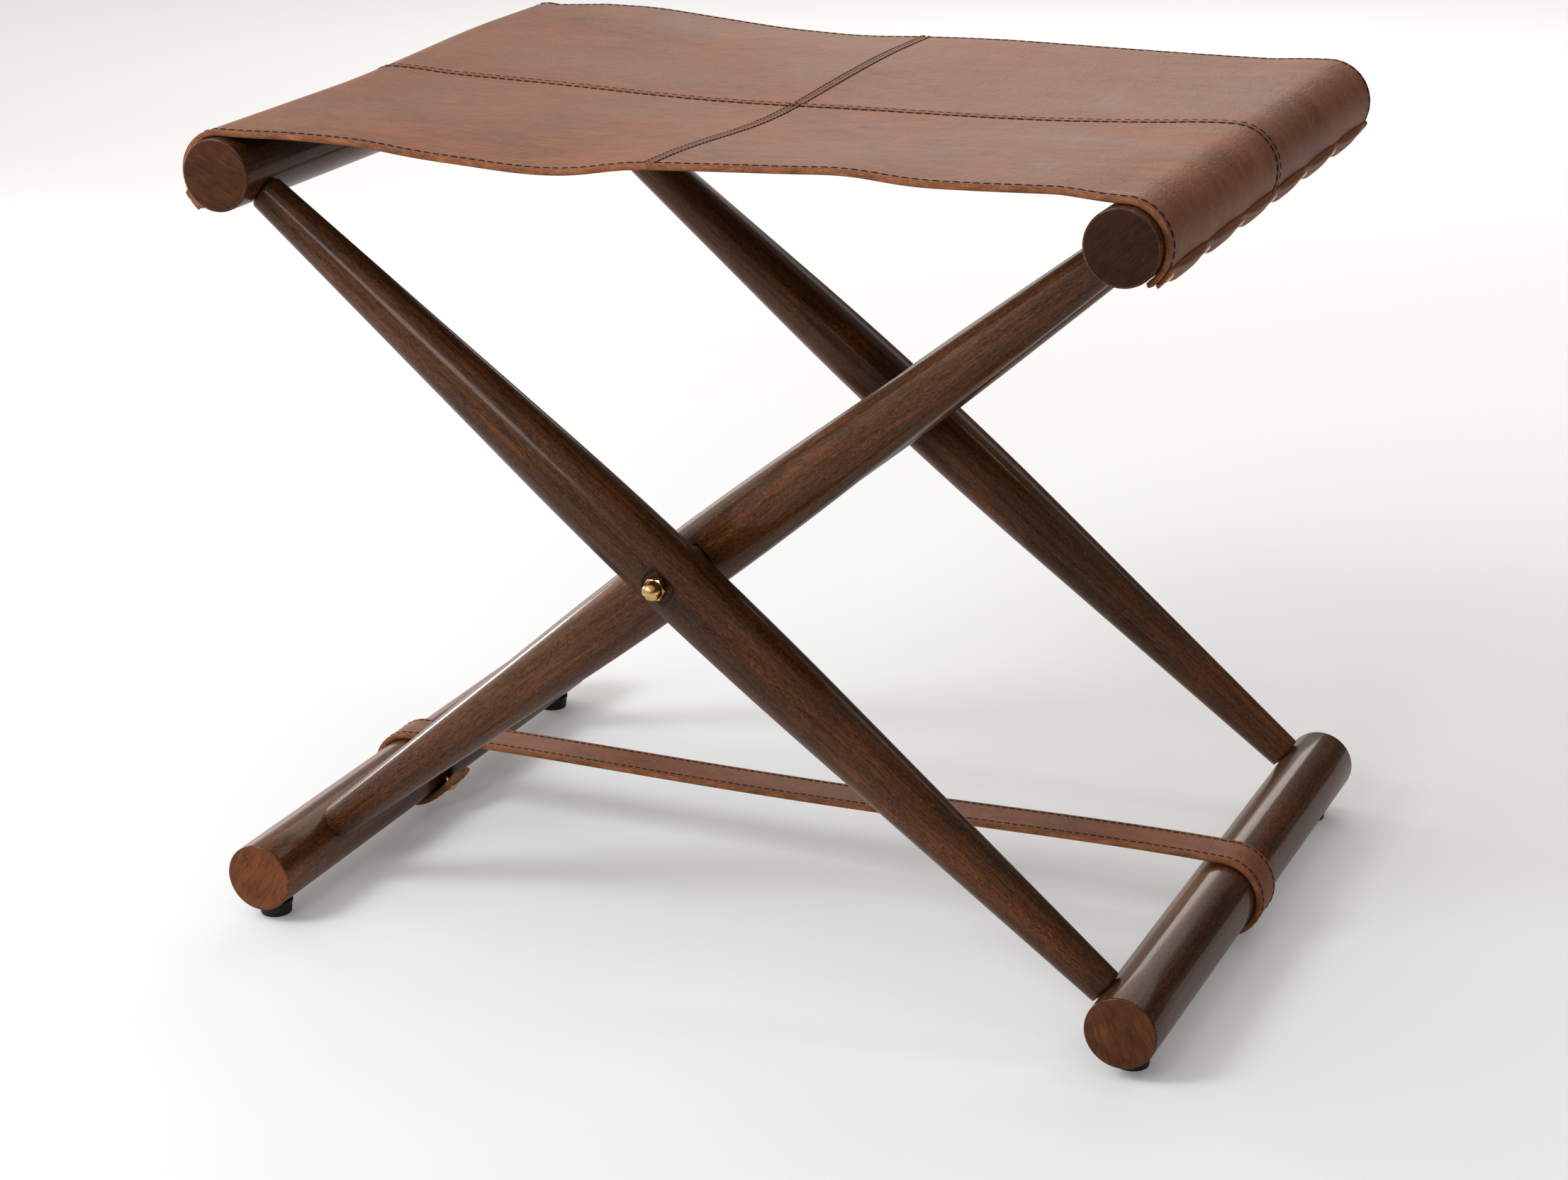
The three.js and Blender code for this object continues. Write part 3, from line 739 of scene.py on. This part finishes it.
def shell(name, upper, lower, tex):
    """A closed sheet of leather from its upper and lower grids of points. Its cut edge is a
    little rounded and frayed."""
    rows, columns = upper.shape[:2]
    index = np.arange(rows * columns).reshape(rows, columns)
    a, b, c, d = index[:-1, :-1], index[1:, :-1], index[1:, 1:], index[:-1, 1:]
    top = np.stack([a, b, c, d], -1).reshape(-1, 4)
    bottom = np.stack([a, d, c, b], -1).reshape(-1, 4) + rows * columns
    points = [upper.reshape(-1, 3), lower.reshape(-1, 3)]
    spots = [tex.reshape(-1, 3), tex.reshape(-1, 3) + np.array([0, 0, LINING_SHIFT])]
    high, low = border(upper), border(lower)
    outward = unit(high - beside_border(upper))
    draws = np.random.default_rng(len(high))
    fray = draws.normal(0, EDGE_FRAY, (len(EDGE_ROWS), len(high), 1))
    bands, count = [border(index)], 2 * rows * columns
    for (share, bulge), uneven in zip(EDGE_ROWS, fray):
        points.append(high * (1 - share) + low * share + outward * (bulge + uneven))
        spots.append(border(tex) + np.array([0, 0, EDGE_SHIFT * share]))
        bands.append(np.arange(count, count + len(high)))
        count += len(high)
    bands.append(border(index) + rows * columns)
    faces = [top, bottom]
    for first, second in zip(bands, bands[1:]):
        faces.append(np.stack([first, second, np.roll(second, -1), np.roll(first, -1)], -1))
    indices = [0] * len(top) + [1] * len(bottom) + [2] * ((len(bands) - 1) * len(high))
    points, faces, spots = np.concatenate(points), np.concatenate(faces), np.concatenate(spots)
    return make_piece(name, points, faces, HIDE, spots, indices, smooth_angle=50)


def stitch_points(start, middle, normal, finish, thick):
    """Rings of points along one thread, which dips into the leather at both ends."""
    side = unit(np.cross(unit(finish - start), normal))
    points = []
    for along, width, rise in STITCH_RINGS:
        core = middle + (finish - start) * along + normal * thick * rise
        for turn in np.arange(STITCH_SIDES) * math.tau / STITCH_SIDES:
            outward = side * math.cos(turn) + normal * math.sin(turn) * STITCH_FLATNESS
            points.append(core + outward * thick * width)
    return points


def stitch_faces(base):
    """The faces of one stitch whose first point has the number base."""
    faces = []
    last = base + STITCH_SIDES * (len(STITCH_RINGS) - 1)
    for low in range(base, last, STITCH_SIDES):
        high = low + STITCH_SIDES
        for j in range(STITCH_SIDES):
            k = (j + 1) % STITCH_SIDES
            faces.append((low + j, low + k, high + k, high + j))
    for ring in (base, last):
        faces.append(tuple(ring + j for j in range(STITCH_SIDES)))
    return faces


def stitches(name, rows, thick):
    """One mesh of threads. Each row is (place, pitch, share): place(u) gives a point and the
    surface's normal for u from 0 to 1, and share is how much of the pitch shows as thread."""
    samples = np.linspace(0, 1, ROW_SAMPLES)
    points, faces = [], []
    for place, pitch, share in rows:
        line = np.array([place(u)[0] for u in samples])
        run = np.concatenate([[0], np.cumsum(np.linalg.norm(np.diff(line, axis=0), axis=1))])
        count = int(run[-1] / pitch)
        for i in range(count):
            shares = np.array([i + 0.5 - share / 2, i + 0.5, i + 0.5 + share / 2]) / count
            start, middle, finish = map(place, np.interp(shares, run / run[-1], samples))
            faces += stitch_faces(len(points))
            points += stitch_points(start[0], *middle, finish[0], thick)
    return make_piece(name, points, faces, [THREAD])


def wave(*points):
    """A smooth line through (x, height) points, which are given in millimetres."""
    places, heights = zip(*points)
    fine = np.linspace(places[0], places[-1], 200)
    line = np.interp(fine, places, heights)
    kernel = np.hanning(23)
    line = np.convolve(np.pad(line, 11, mode="edge"), kernel / kernel.sum(), mode="valid")
    return list(zip(fine * MM, line * MM))


# How the seat's long edges rise and fall between the rails, as the photo shows.
FRONT_WAVE = wave(
    (-246, 0), (-203, 0.8), (-161, 0.0), (-131, -4.0), (-108, -5.2), (-85, -7.0), (-62, -8.0),
    (-38, -6.6), (-15, -1.5), (42, 1.0), (77, 2.3), (105, 4.0), (138, 0.2), (177, 1.0), (223, 2.6),
    (246, 0),
)
REAR_WAVE = wave(
    (-246, 5), (-179, 5.2), (-130, 0.8), (-91, -2.6), (-40, -4.2), (0, -2.0), (50, -0.8),
    (107, -1.4), (170, -1.9), (221, -1.8), (246, 0),
)


class Seat:
    """The seat's surface: s runs along its length from the left nailed end, and y across it."""

    wrap = SEAT_RADIUS * (math.pi / 2 + SEAT_END_ANGLE)
    length = 2 * wrap + 2 * TOP_X
    front = (-189.5 * MM, -183.5 * MM)      # at the left rail and at the right rail
    rear = (204 * MM, 190.5 * MM)
    cross_row = 2.9 * MM                    # from the cross seam to each of its stitch rows
    long_row = 2.7 * MM                     # the same on the lengthwise seam
    edge_row = 3.0 * MM                     # from an edge to its stitch row
    sag = 7.0 * MM                          # at the middle, half way between the rails
    ripple = 0.5 * MM                       # slow unevenness of the open leather
    corner_lift = 6.0 * MM                  # how far the loose rear left corner stands off
    thread_lift = 0.3 * MM                  # from the face to a thread's middle

    def edges(self, s):
        """The y of the front edge and of the rear edge."""
        share = np.clip((s - self.wrap) / (2 * TOP_X), 0, 1)
        return (self.front[0] + share * (self.front[1] - self.front[0]),
                self.rear[0] + share * (self.rear[1] - self.rear[0]))

    def corner(self, y, angle):
        """How far the leather stands off the left rail, towards its loose rear corner."""
        share = np.clip((y + 60 * MM) / (210 * MM), 0, 1)
        eased = share**2 * (3 - 2 * share)
        return self.corner_lift * eased * hump(angle, math.radians(125), math.radians(42))

    def fall(self, x, y):
        """How far the leather lies above a flat sheet over the rails."""
        ends = np.clip(1 - (x / TOP_X) ** 2, 0, 1)
        off_rails = np.clip(ends * 4, 0, 1)
        front = np.interp(x, *zip(*FRONT_WAVE))
        rear = np.interp(x, *zip(*REAR_WAVE))
        sag = -self.sag * ends * hump(y, -28 * MM, 150 * MM)
        ripple = self.ripple * np.sin(x / (31 * MM) + y / (60 * MM)) * np.sin(y / (43 * MM) + 1.3)
        near, far = hump(y, -187 * MM, 72 * MM), hump(y, 200 * MM, 78 * MM)
        loose = self.corner(y, math.pi / 2) * np.clip((60 * MM - x) / (306 * MM), 0, 1) ** 0.5
        between = (sag + ripple) * (1 - near) * (1 - far)
        return (between + front * near + rear * far) * off_rails + loose * (1 - far * off_rails)

    def relief(self, s, y):
        """Seams and stitch rows, as height above the leather's face."""
        across, along = np.abs(s - self.length / 2), np.abs(y)
        low, high = self.edges(s)
        edge = np.minimum(y - low, high - y)
        folds = 0.48 * MM * hump(across, 1.4 * MM, 0.8 * MM)
        gap = 0.40 * MM * hump(across, 0, 0.45 * MM)
        overlap = 0.45 * MM * np.exp(-((along / (2.0 * MM)) ** 4))
        sunk = 0.25 * MM * hump(across, self.cross_row, 0.6 * MM)
        sunk = sunk + 0.25 * MM * hump(along, self.long_row, 0.6 * MM)
        sunk = sunk + 0.30 * MM * hump(edge, self.edge_row, 0.7 * MM)
        return folds - gap + overlap - sunk

    def point(self, s, y, lift=0.0, relief=True):
        """The face at s and y, raised by a lift."""
        s, y = np.broadcast_arrays(np.asarray(s, float), np.asarray(y, float))
        left, right = s < self.wrap, s > self.length - self.wrap
        angle = np.full(s.shape, math.pi / 2)
        angle = np.where(left, math.pi / 2 + (self.wrap - s) / SEAT_RADIUS, angle)
        angle = np.where(right, math.pi / 2 - (s - self.length + self.wrap) / SEAT_RADIUS, angle)
        x = np.where(left, -TOP_X, np.where(right, TOP_X, s - self.length / 2))
        z = TOP_Z + np.where(left | right, 0, self.fall(x, y))
        if relief:
            lift = lift + self.relief(s, y)
        lift = lift + np.where(left, self.corner(y, angle), 0)
        reach = SEAT_RADIUS + lift
        return np.stack([x + reach * np.cos(angle), y, z + reach * np.sin(angle)], -1)

    def spot(self, s, y):
        """A point just above the face, and the face's normal there."""
        here = self.point(s, y, self.thread_lift)
        step = 1 * MM
        along = self.point(s + step, y, relief=False) - self.point(s - step, y, relief=False)
        across = self.point(s, y + step, relief=False) - self.point(s, y - step, relief=False)
        return here, unit(np.cross(along, across))


def seat_rows(seat):
    """The stitch rows beside both seams and along the front and rear edges."""
    rows = []
    middle = seat.length / 2
    inset = 2 * MM

    def across(offset):
        low, high = seat.edges(middle)
        return lambda u: seat.spot(middle + offset, low + inset + u * (high - low - 2 * inset))

    def along(offset):
        return lambda u: seat.spot(inset + u * (seat.length - 2 * inset), offset)

    def beside(which, offset):
        def place(u):
            s = inset + u * (seat.length - 2 * inset)
            return seat.spot(s, seat.edges(s)[which] + offset)
        return place

    for side in (-1, 1):
        rows.append((across(side * seat.cross_row), 4.3 * MM, 0.72))
        rows.append((along(side * seat.long_row), 5.2 * MM, 0.75))
        rows.append((beside((1 - side) // 2, side * seat.edge_row), 5.2 * MM, 0.75))
    return rows


def seat_leather():
    seat = Seat()
    s = fine_steps(0, seat.length, 2.4 * MM, [seat.length / 2], 0.45 * MM, 6 * MM)
    shares = fine_steps(0, 1, 0.007, [0.0, 0.483, 1.0], 0.0013, 0.013)
    ss, tt = np.meshgrid(s, shares, indexing="ij")
    low, high = seat.edges(ss)
    yy = low + tt * (high - low)
    margin = np.minimum(np.minimum(yy - low, high - yy), np.minimum(ss, seat.length - ss))
    rounding = 0.4 * MM * np.clip(1 - margin / (0.6 * MM), 0, 1) ** 2
    upper = seat.point(ss, yy, -rounding)
    lower = seat.point(ss, yy, rounding - SEAT_THICKNESS, relief=False)
    panel = (ss > seat.length / 2) * 1.7 + (yy > 0) * 3.1
    tex = np.stack([ss + panel * 0.31, yy + panel * 0.17, panel * 0.05], -1)
    piece = shell("seat_leather", upper, lower, tex)
    thread = stitches("seat_stitching", seat_rows(seat), 0.38 * MM)
    for part in (piece, thread):
        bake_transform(part)
    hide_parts(*[f"seat_panel_{a}_{b}" for a in ("front", "rear") for b in ("left", "right")])


def nail_places():
    """The y of each seat nail, from the CAD's nails."""
    return [centre(f"seat_nail_right_{i + 1}").y for i in range(NAILS)]


def pinch(y):
    """1 at a nail, falling to 0 between nails."""
    return np.max([hump(y, nail, 12 * MM) for nail in nail_places()], axis=0)


def dome_nail(head_radius, height, shank):
    """Points and faces of a nail that lies along Z, with the underside of its head at 0."""
    radius, point, rim = 1.0 * MM, 1.5 * MM, 0.25 * MM
    rows = [(0, -shank), (radius, -shank + point), (radius, 0), (head_radius, 0)]
    rows += [(head_radius, rim)]
    for angle in np.linspace(0.2, math.pi / 2, 7):
        rows.append((head_radius * math.cos(angle), rim + (height - rim) * math.sin(angle)))
    rows[-1] = (0, height)
    return lathe(rows, 24)


def seat_strip(label, side, body):
    """The leather strip that is nailed over the seat's end. It bulges between its nails."""
    end = 0 if side < 0 else 1
    low, high = Seat.front[end] + 2 * MM, Seat.rear[end] - 1 * MM
    shares = np.concatenate([np.linspace(0, 0.15, 8), np.linspace(0.18, 1, 24)])
    yy, aa = np.meshgrid(np.linspace(low, high, 220), shares, indexing="ij")
    slack = 1 - pinch(yy)
    upper_edge, lower_edge = STRIP_ANGLES
    narrow = math.radians(3) * (1 - slack)
    angle = upper_edge + narrow + aa * (lower_edge - upper_edge - 2 * narrow)
    shoulder = 1 - 0.6 * np.clip(1 - aa / 0.15, 0, 1) ** 2
    thickness = (1.4 + slack * (2.3 - 0.9 * aa)) * shoulder * MM
    groove = 0.5 * MM * slack * hump(aa, 0.45, 0.06)
    radius = SEAT_RADIUS + 0.1 * MM + slack * 0.9 * aa**2 * MM

    def at(reach):
        x, z = TOP_X + reach * np.cos(angle), TOP_Z - reach * np.sin(angle)
        return np.stack([side * x, yy, z], -1)

    length = SEAT_RADIUS * (lower_edge - upper_edge)
    tex = np.stack([yy, aa * length + 0.4 * side, 0 * yy + 0.3], -1)
    upper, lower = at(radius + thickness - groove), at(radius)
    piece = shell(f"seat_strip_{label}_leather", upper, lower, tex)
    settle(piece, body, "leather", f"seat_strip_{label}")
    seat_nails(label, side, body)


def seat_nails(label, side, body):
    """One strip's nails. Their heads lie on the strip where it is pinched thin."""
    direction = Vector((side * math.cos(NAIL_ANGLE), 0, -math.sin(NAIL_ANGLE)))
    reach = SEAT_RADIUS + 1.35 * MM
    spots = [Vector((side * TOP_X, y, TOP_Z)) + direction * reach for y in nail_places()]
    matrices = [facing(direction, spot) for spot in spots]
    nails = joined(f"seat_nails_{label}", dome_nail(3.2 * MM, 1.2 * MM, 8 * MM), BRASS, matrices)
    settle(nails, body, "brass", *[f"seat_nail_{label}_{i + 1}" for i in range(NAILS)])


class Strap:
    """The strap's surface: s runs from its left nailed end, which stands off its rail, to its
    right one."""

    wraps = [STRAP_RADIUS * (1.5 * math.pi - angle) for angle in STRAP_END_ANGLES]
    length = wraps[0] + 2 * BOTTOM_X + wraps[1]
    edge_row = 3.0 * MM                     # from an edge to its stitch row
    corner = 6 * MM                         # radius of the rounded corners
    sag = 1.4 * MM

    def half_width(self, s):
        corner = self.corner
        end = np.clip(np.minimum(s, self.length - s), 0, corner)
        return STRAP_WIDTH / 2 - corner + np.sqrt(np.maximum(corner**2 - (corner - end) ** 2, 0))

    def point(self, s, share, lift=0.0):
        """share runs from -1 at the front edge to 1 at the rear edge."""
        s, share = np.broadcast_arrays(np.asarray(s, float), np.asarray(share, float))
        left, right = s < self.wraps[0], s > self.length - self.wraps[1]
        angle = np.full(s.shape, math.pi / 2)
        angle = np.where(left, math.pi / 2 + (self.wraps[0] - s) / STRAP_RADIUS, angle)
        past = s - self.length + self.wraps[1]
        angle = np.where(right, math.pi / 2 - past / STRAP_RADIUS, angle)
        x = np.where(left, -BOTTOM_X, np.where(right, BOTTOM_X, s - self.wraps[0] - BOTTOM_X))
        flat = ~(left | right)
        ends = 1 - (x / BOTTOM_X) ** 2
        z = BOTTOM_Z + np.where(flat, self.sag * ends * (4 * (1 - ends) - 1), 0)
        free = STRAP_RADIUS * (STRAP_FREE_ANGLE - STRAP_END_ANGLES[0])
        reach = STRAP_RADIUS + lift + STRAP_END_LIFT * np.clip(1 - s / free, 0, 1) ** 2
        y = STRAP_Y + share * self.half_width(s)
        return np.stack([x + reach * np.cos(angle), y, z + reach * np.sin(angle)], -1)

    def spot(self, s, offset):
        """A point on the face, at an offset from the strap's middle, and the normal there."""
        share = offset / self.half_width(s)
        here = self.point(s, share)
        along = self.point(s + 1 * MM, share) - self.point(s - 1 * MM, share)
        return here, unit(np.cross(along, np.array([0.0, 1.0, 0.0])))


def strap_leather(line):
    near_end = np.array([0, 0.2, 0.6, 1.3, 2.4, 4]) * MM
    between = np.arange(6 * MM, line.length - 5 * MM, 2 * MM)
    s = np.concatenate([near_end, between, line.length - near_end[::-1]])
    shares = np.concatenate([[-1, -0.985, -0.95], np.linspace(-0.9, 0.9, 37), [0.95, 0.985, 1]])
    ss, tt = np.meshgrid(s, shares, indexing="ij")
    margin = (1 - np.abs(tt)) * STRAP_WIDTH / 2
    rounding = 0.5 * MM * np.clip(1 - margin / (0.8 * MM), 0, 1) ** 2
    groove = 0.35 * MM * hump(margin, line.edge_row, 0.7 * MM)
    upper = line.point(ss, tt, -rounding - groove)
    lower = line.point(ss, tt, rounding - STRAP_THICKNESS)
    tex = np.stack([ss, tt * STRAP_WIDTH / 2 + 0.77, 0 * ss + 0.41], -1)
    return shell("strap_leather", upper, lower, tex)


def strap_rows(line):
    """The stitch rows along both edges of the strap."""
    offset = STRAP_WIDTH / 2 - line.edge_row
    ends = 6 * MM

    def along(side):
        return lambda u: line.spot(ends + u * (line.length - 2 * ends), side * offset)

    return [(along(side), 4.6 * MM, 0.72) for side in (-1, 1)]


def strap_nails(line):
    to_nails = [STRAP_RADIUS * (n - e) for n, e in zip(STRAP_NAIL_ANGLES, STRAP_END_ANGLES)]
    places = (to_nails[0], line.length - to_nails[1])
    shape = dome_nail(3.8 * MM, 1.7 * MM, 11 * MM)
    for along, body, label in zip(places, (INNER, OUTER), ("left", "right")):
        place, normal = line.spot(along, 0.0)
        nail = joined(f"strap_nail_{label}_domed", shape, BRASS, [facing(normal, place)])
        settle(nail, body, "brass", f"strap_nail_{label}")


def strap():
    line = Strap()
    piece = strap_leather(line)
    thread = stitches("strap_stitching", strap_rows(line), 0.30 * MM)
    for part in (piece, thread):
        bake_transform(part)
    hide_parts("strap")
    strap_nails(line)


# ---- stage --------------------------------------------------------------------------------


def area_light(name, place, target, width, height, power, colour=(1, 1, 1)):
    """A rectangular light at a place, facing a target, with its power in watts."""
    data = bpy.data.lights.new(name, "AREA")
    data.shape = "RECTANGLE"
    data.size, data.size_y = width, height
    data.energy = power
    data.color = colour
    light = bpy.data.objects.new(name, data)
    light.matrix_world = facing(Vector(place) - Vector(target), place)
    bpy.context.scene.collection.objects.link(light)


def surroundings():
    """A dark surround with three glows: a broad one from the upper left, a faint wide one from
    the left, and a small bright one from low behind on the left."""
    world = bpy.data.worlds.new("studio_world")
    world.use_nodes = True
    tree = world.node_tree
    coordinates = tree.nodes.new("ShaderNodeTexCoord")
    total = None
    for direction, spread in GLOWS:
        towards = tree.nodes.new("ShaderNodeVectorMath")
        towards.operation = "DOT_PRODUCT"
        towards.inputs[1].default_value = Vector(direction).normalized()
        strength = tree.nodes.new("ShaderNodeMapRange")
        for socket, value in zip(("From Min", "From Max", "To Min", "To Max"), spread):
            strength.inputs[socket].default_value = value
        tree.links.new(coordinates.outputs["Generated"], towards.inputs[0])
        tree.links.new(towards.outputs["Value"], strength.inputs["Value"])
        if total is None:
            total = strength.outputs[0]
            continue
        add = tree.nodes.new("ShaderNodeMath")
        tree.links.new(total, add.inputs[0])
        tree.links.new(strength.outputs[0], add.inputs[1])
        total = add.outputs[0]
    background = tree.nodes["Background"]
    background.inputs["Color"].default_value = (1, 0.962, 0.915, 1)
    tree.links.new(total, background.inputs["Strength"])
    bpy.context.scene.world = world


def floor_material():
    """Matt white, with painted shade that darkens it a little towards the near right, and a faint painted glow
    that lifts its shadows.
    """
    n = Nodes("pale_floor")
    place = n.place()
    parts = n.add("ShaderNodeSeparateXYZ", {"Vector": place}).outputs
    nearness = n.sum(parts["X"], parts["Y"], "SUBTRACT")
    # Painted shade: darker towards the near right, as the light falls off, with faint large blotches on top.
    painted_falloff_and_scuffs = n.sum(n.span(nearness, -1.0, 1.4), n.span(n.noise(place, 3, 2), 0.3, 0.7, 0, 0.05))
    pale = n.ramp(painted_falloff_and_scuffs, ((0.25, (0.665, 0.67, 0.67)), (1.0, (0.59, 0.593, 0.59))))
    return n.finish(
        Base_Color=pale,
        Roughness=0.95,
        # A faint painted glow in the floor's own colour, which lifts its shadows.
        Emission_Color=pale,
        Emission_Strength=0.2,
        Specular_IOR_Level=0.1,
    )


def studio():
    reach = 9
    corners = [(reach * x, reach * y, 0) for x, y in ((-1, -1), (1, -1), (1, 1), (-1, 1))]
    make_piece("studio_floor", corners, [(0, 1, 2, 3)], [floor_material()])
    area_light("key", (-1.20, -1.40, 1.75), (0, 0, 0.25), 0.8, 0.8, 24, (0.93, 1.0, 1.08))
    area_light("far_floor", (0.1, 3.0, 2.2), (0.0, 2.3, 0), 3.8, 1.2, 19)
    area_light("sheen", (-0.8, 2.8, 1.25), (0.0, 0, 0.45), 1.3, 0.5, 8.5, (1.0, 0.94, 0.88))
    area_light("left", (-2.0, 0.68, 0.46), (-0.1, -0.1, 0.15), 0.35, 0.35, 6)
    area_light("front", (0.04, -1.98, 1.57), (-0.2, -0.15, 0.36), 0.5, 0.5, 5)
    area_light("right", (1.17, 0.3, 1.75), (0, 0, 0.35), 0.2, 0.2, 1.6, (1.0, 0.97, 0.93))
    surroundings()
    bpy.context.scene.view_settings.view_transform = "Standard"
    bpy.context.scene.view_settings.look = "Medium High Contrast"


def camera():
    azimuth, elevation, roll = math.radians(23.69), math.radians(19.28), math.radians(-0.93)
    distance = 1922.5 * MM
    target = Vector((-11.6 * MM, 0, 167.5 * MM))
    back = Vector((
        math.sin(azimuth) * math.cos(elevation),
        -math.cos(azimuth) * math.cos(elevation),
        math.sin(elevation),
    ))
    data = bpy.data.cameras.new("camera")
    data.lens = 77.47
    data.sensor_width = 36
    view = bpy.data.objects.new("camera", data)
    look = (-back).to_track_quat("-Z", "Y").to_matrix().to_4x4() @ Matrix.Rotation(roll, 4, "Z")
    view.matrix_world = Matrix.Translation(target + back * distance) @ look
    bpy.context.scene.collection.objects.link(view)
    bpy.context.scene.camera = view


camera()
studio()
wooden_frame()
fittings()
seat_leather()
seat_strip("left", -1, OUTER)
seat_strip("right", 1, INNER)
strap()

# The CAD's own meshes that stay visible get node materials too.
LOOKS = {"brass": BRASS, "steel": STEEL, "rubber": RUBBER, "leather": LEATHER, "wood": WOOD}
for part in frame["record"]["subparts"]:
    node = frame["nodes"][part["node"]]
    node.data.materials.clear()
    node.data.materials.append(LOOKS[part["material_slot"]])
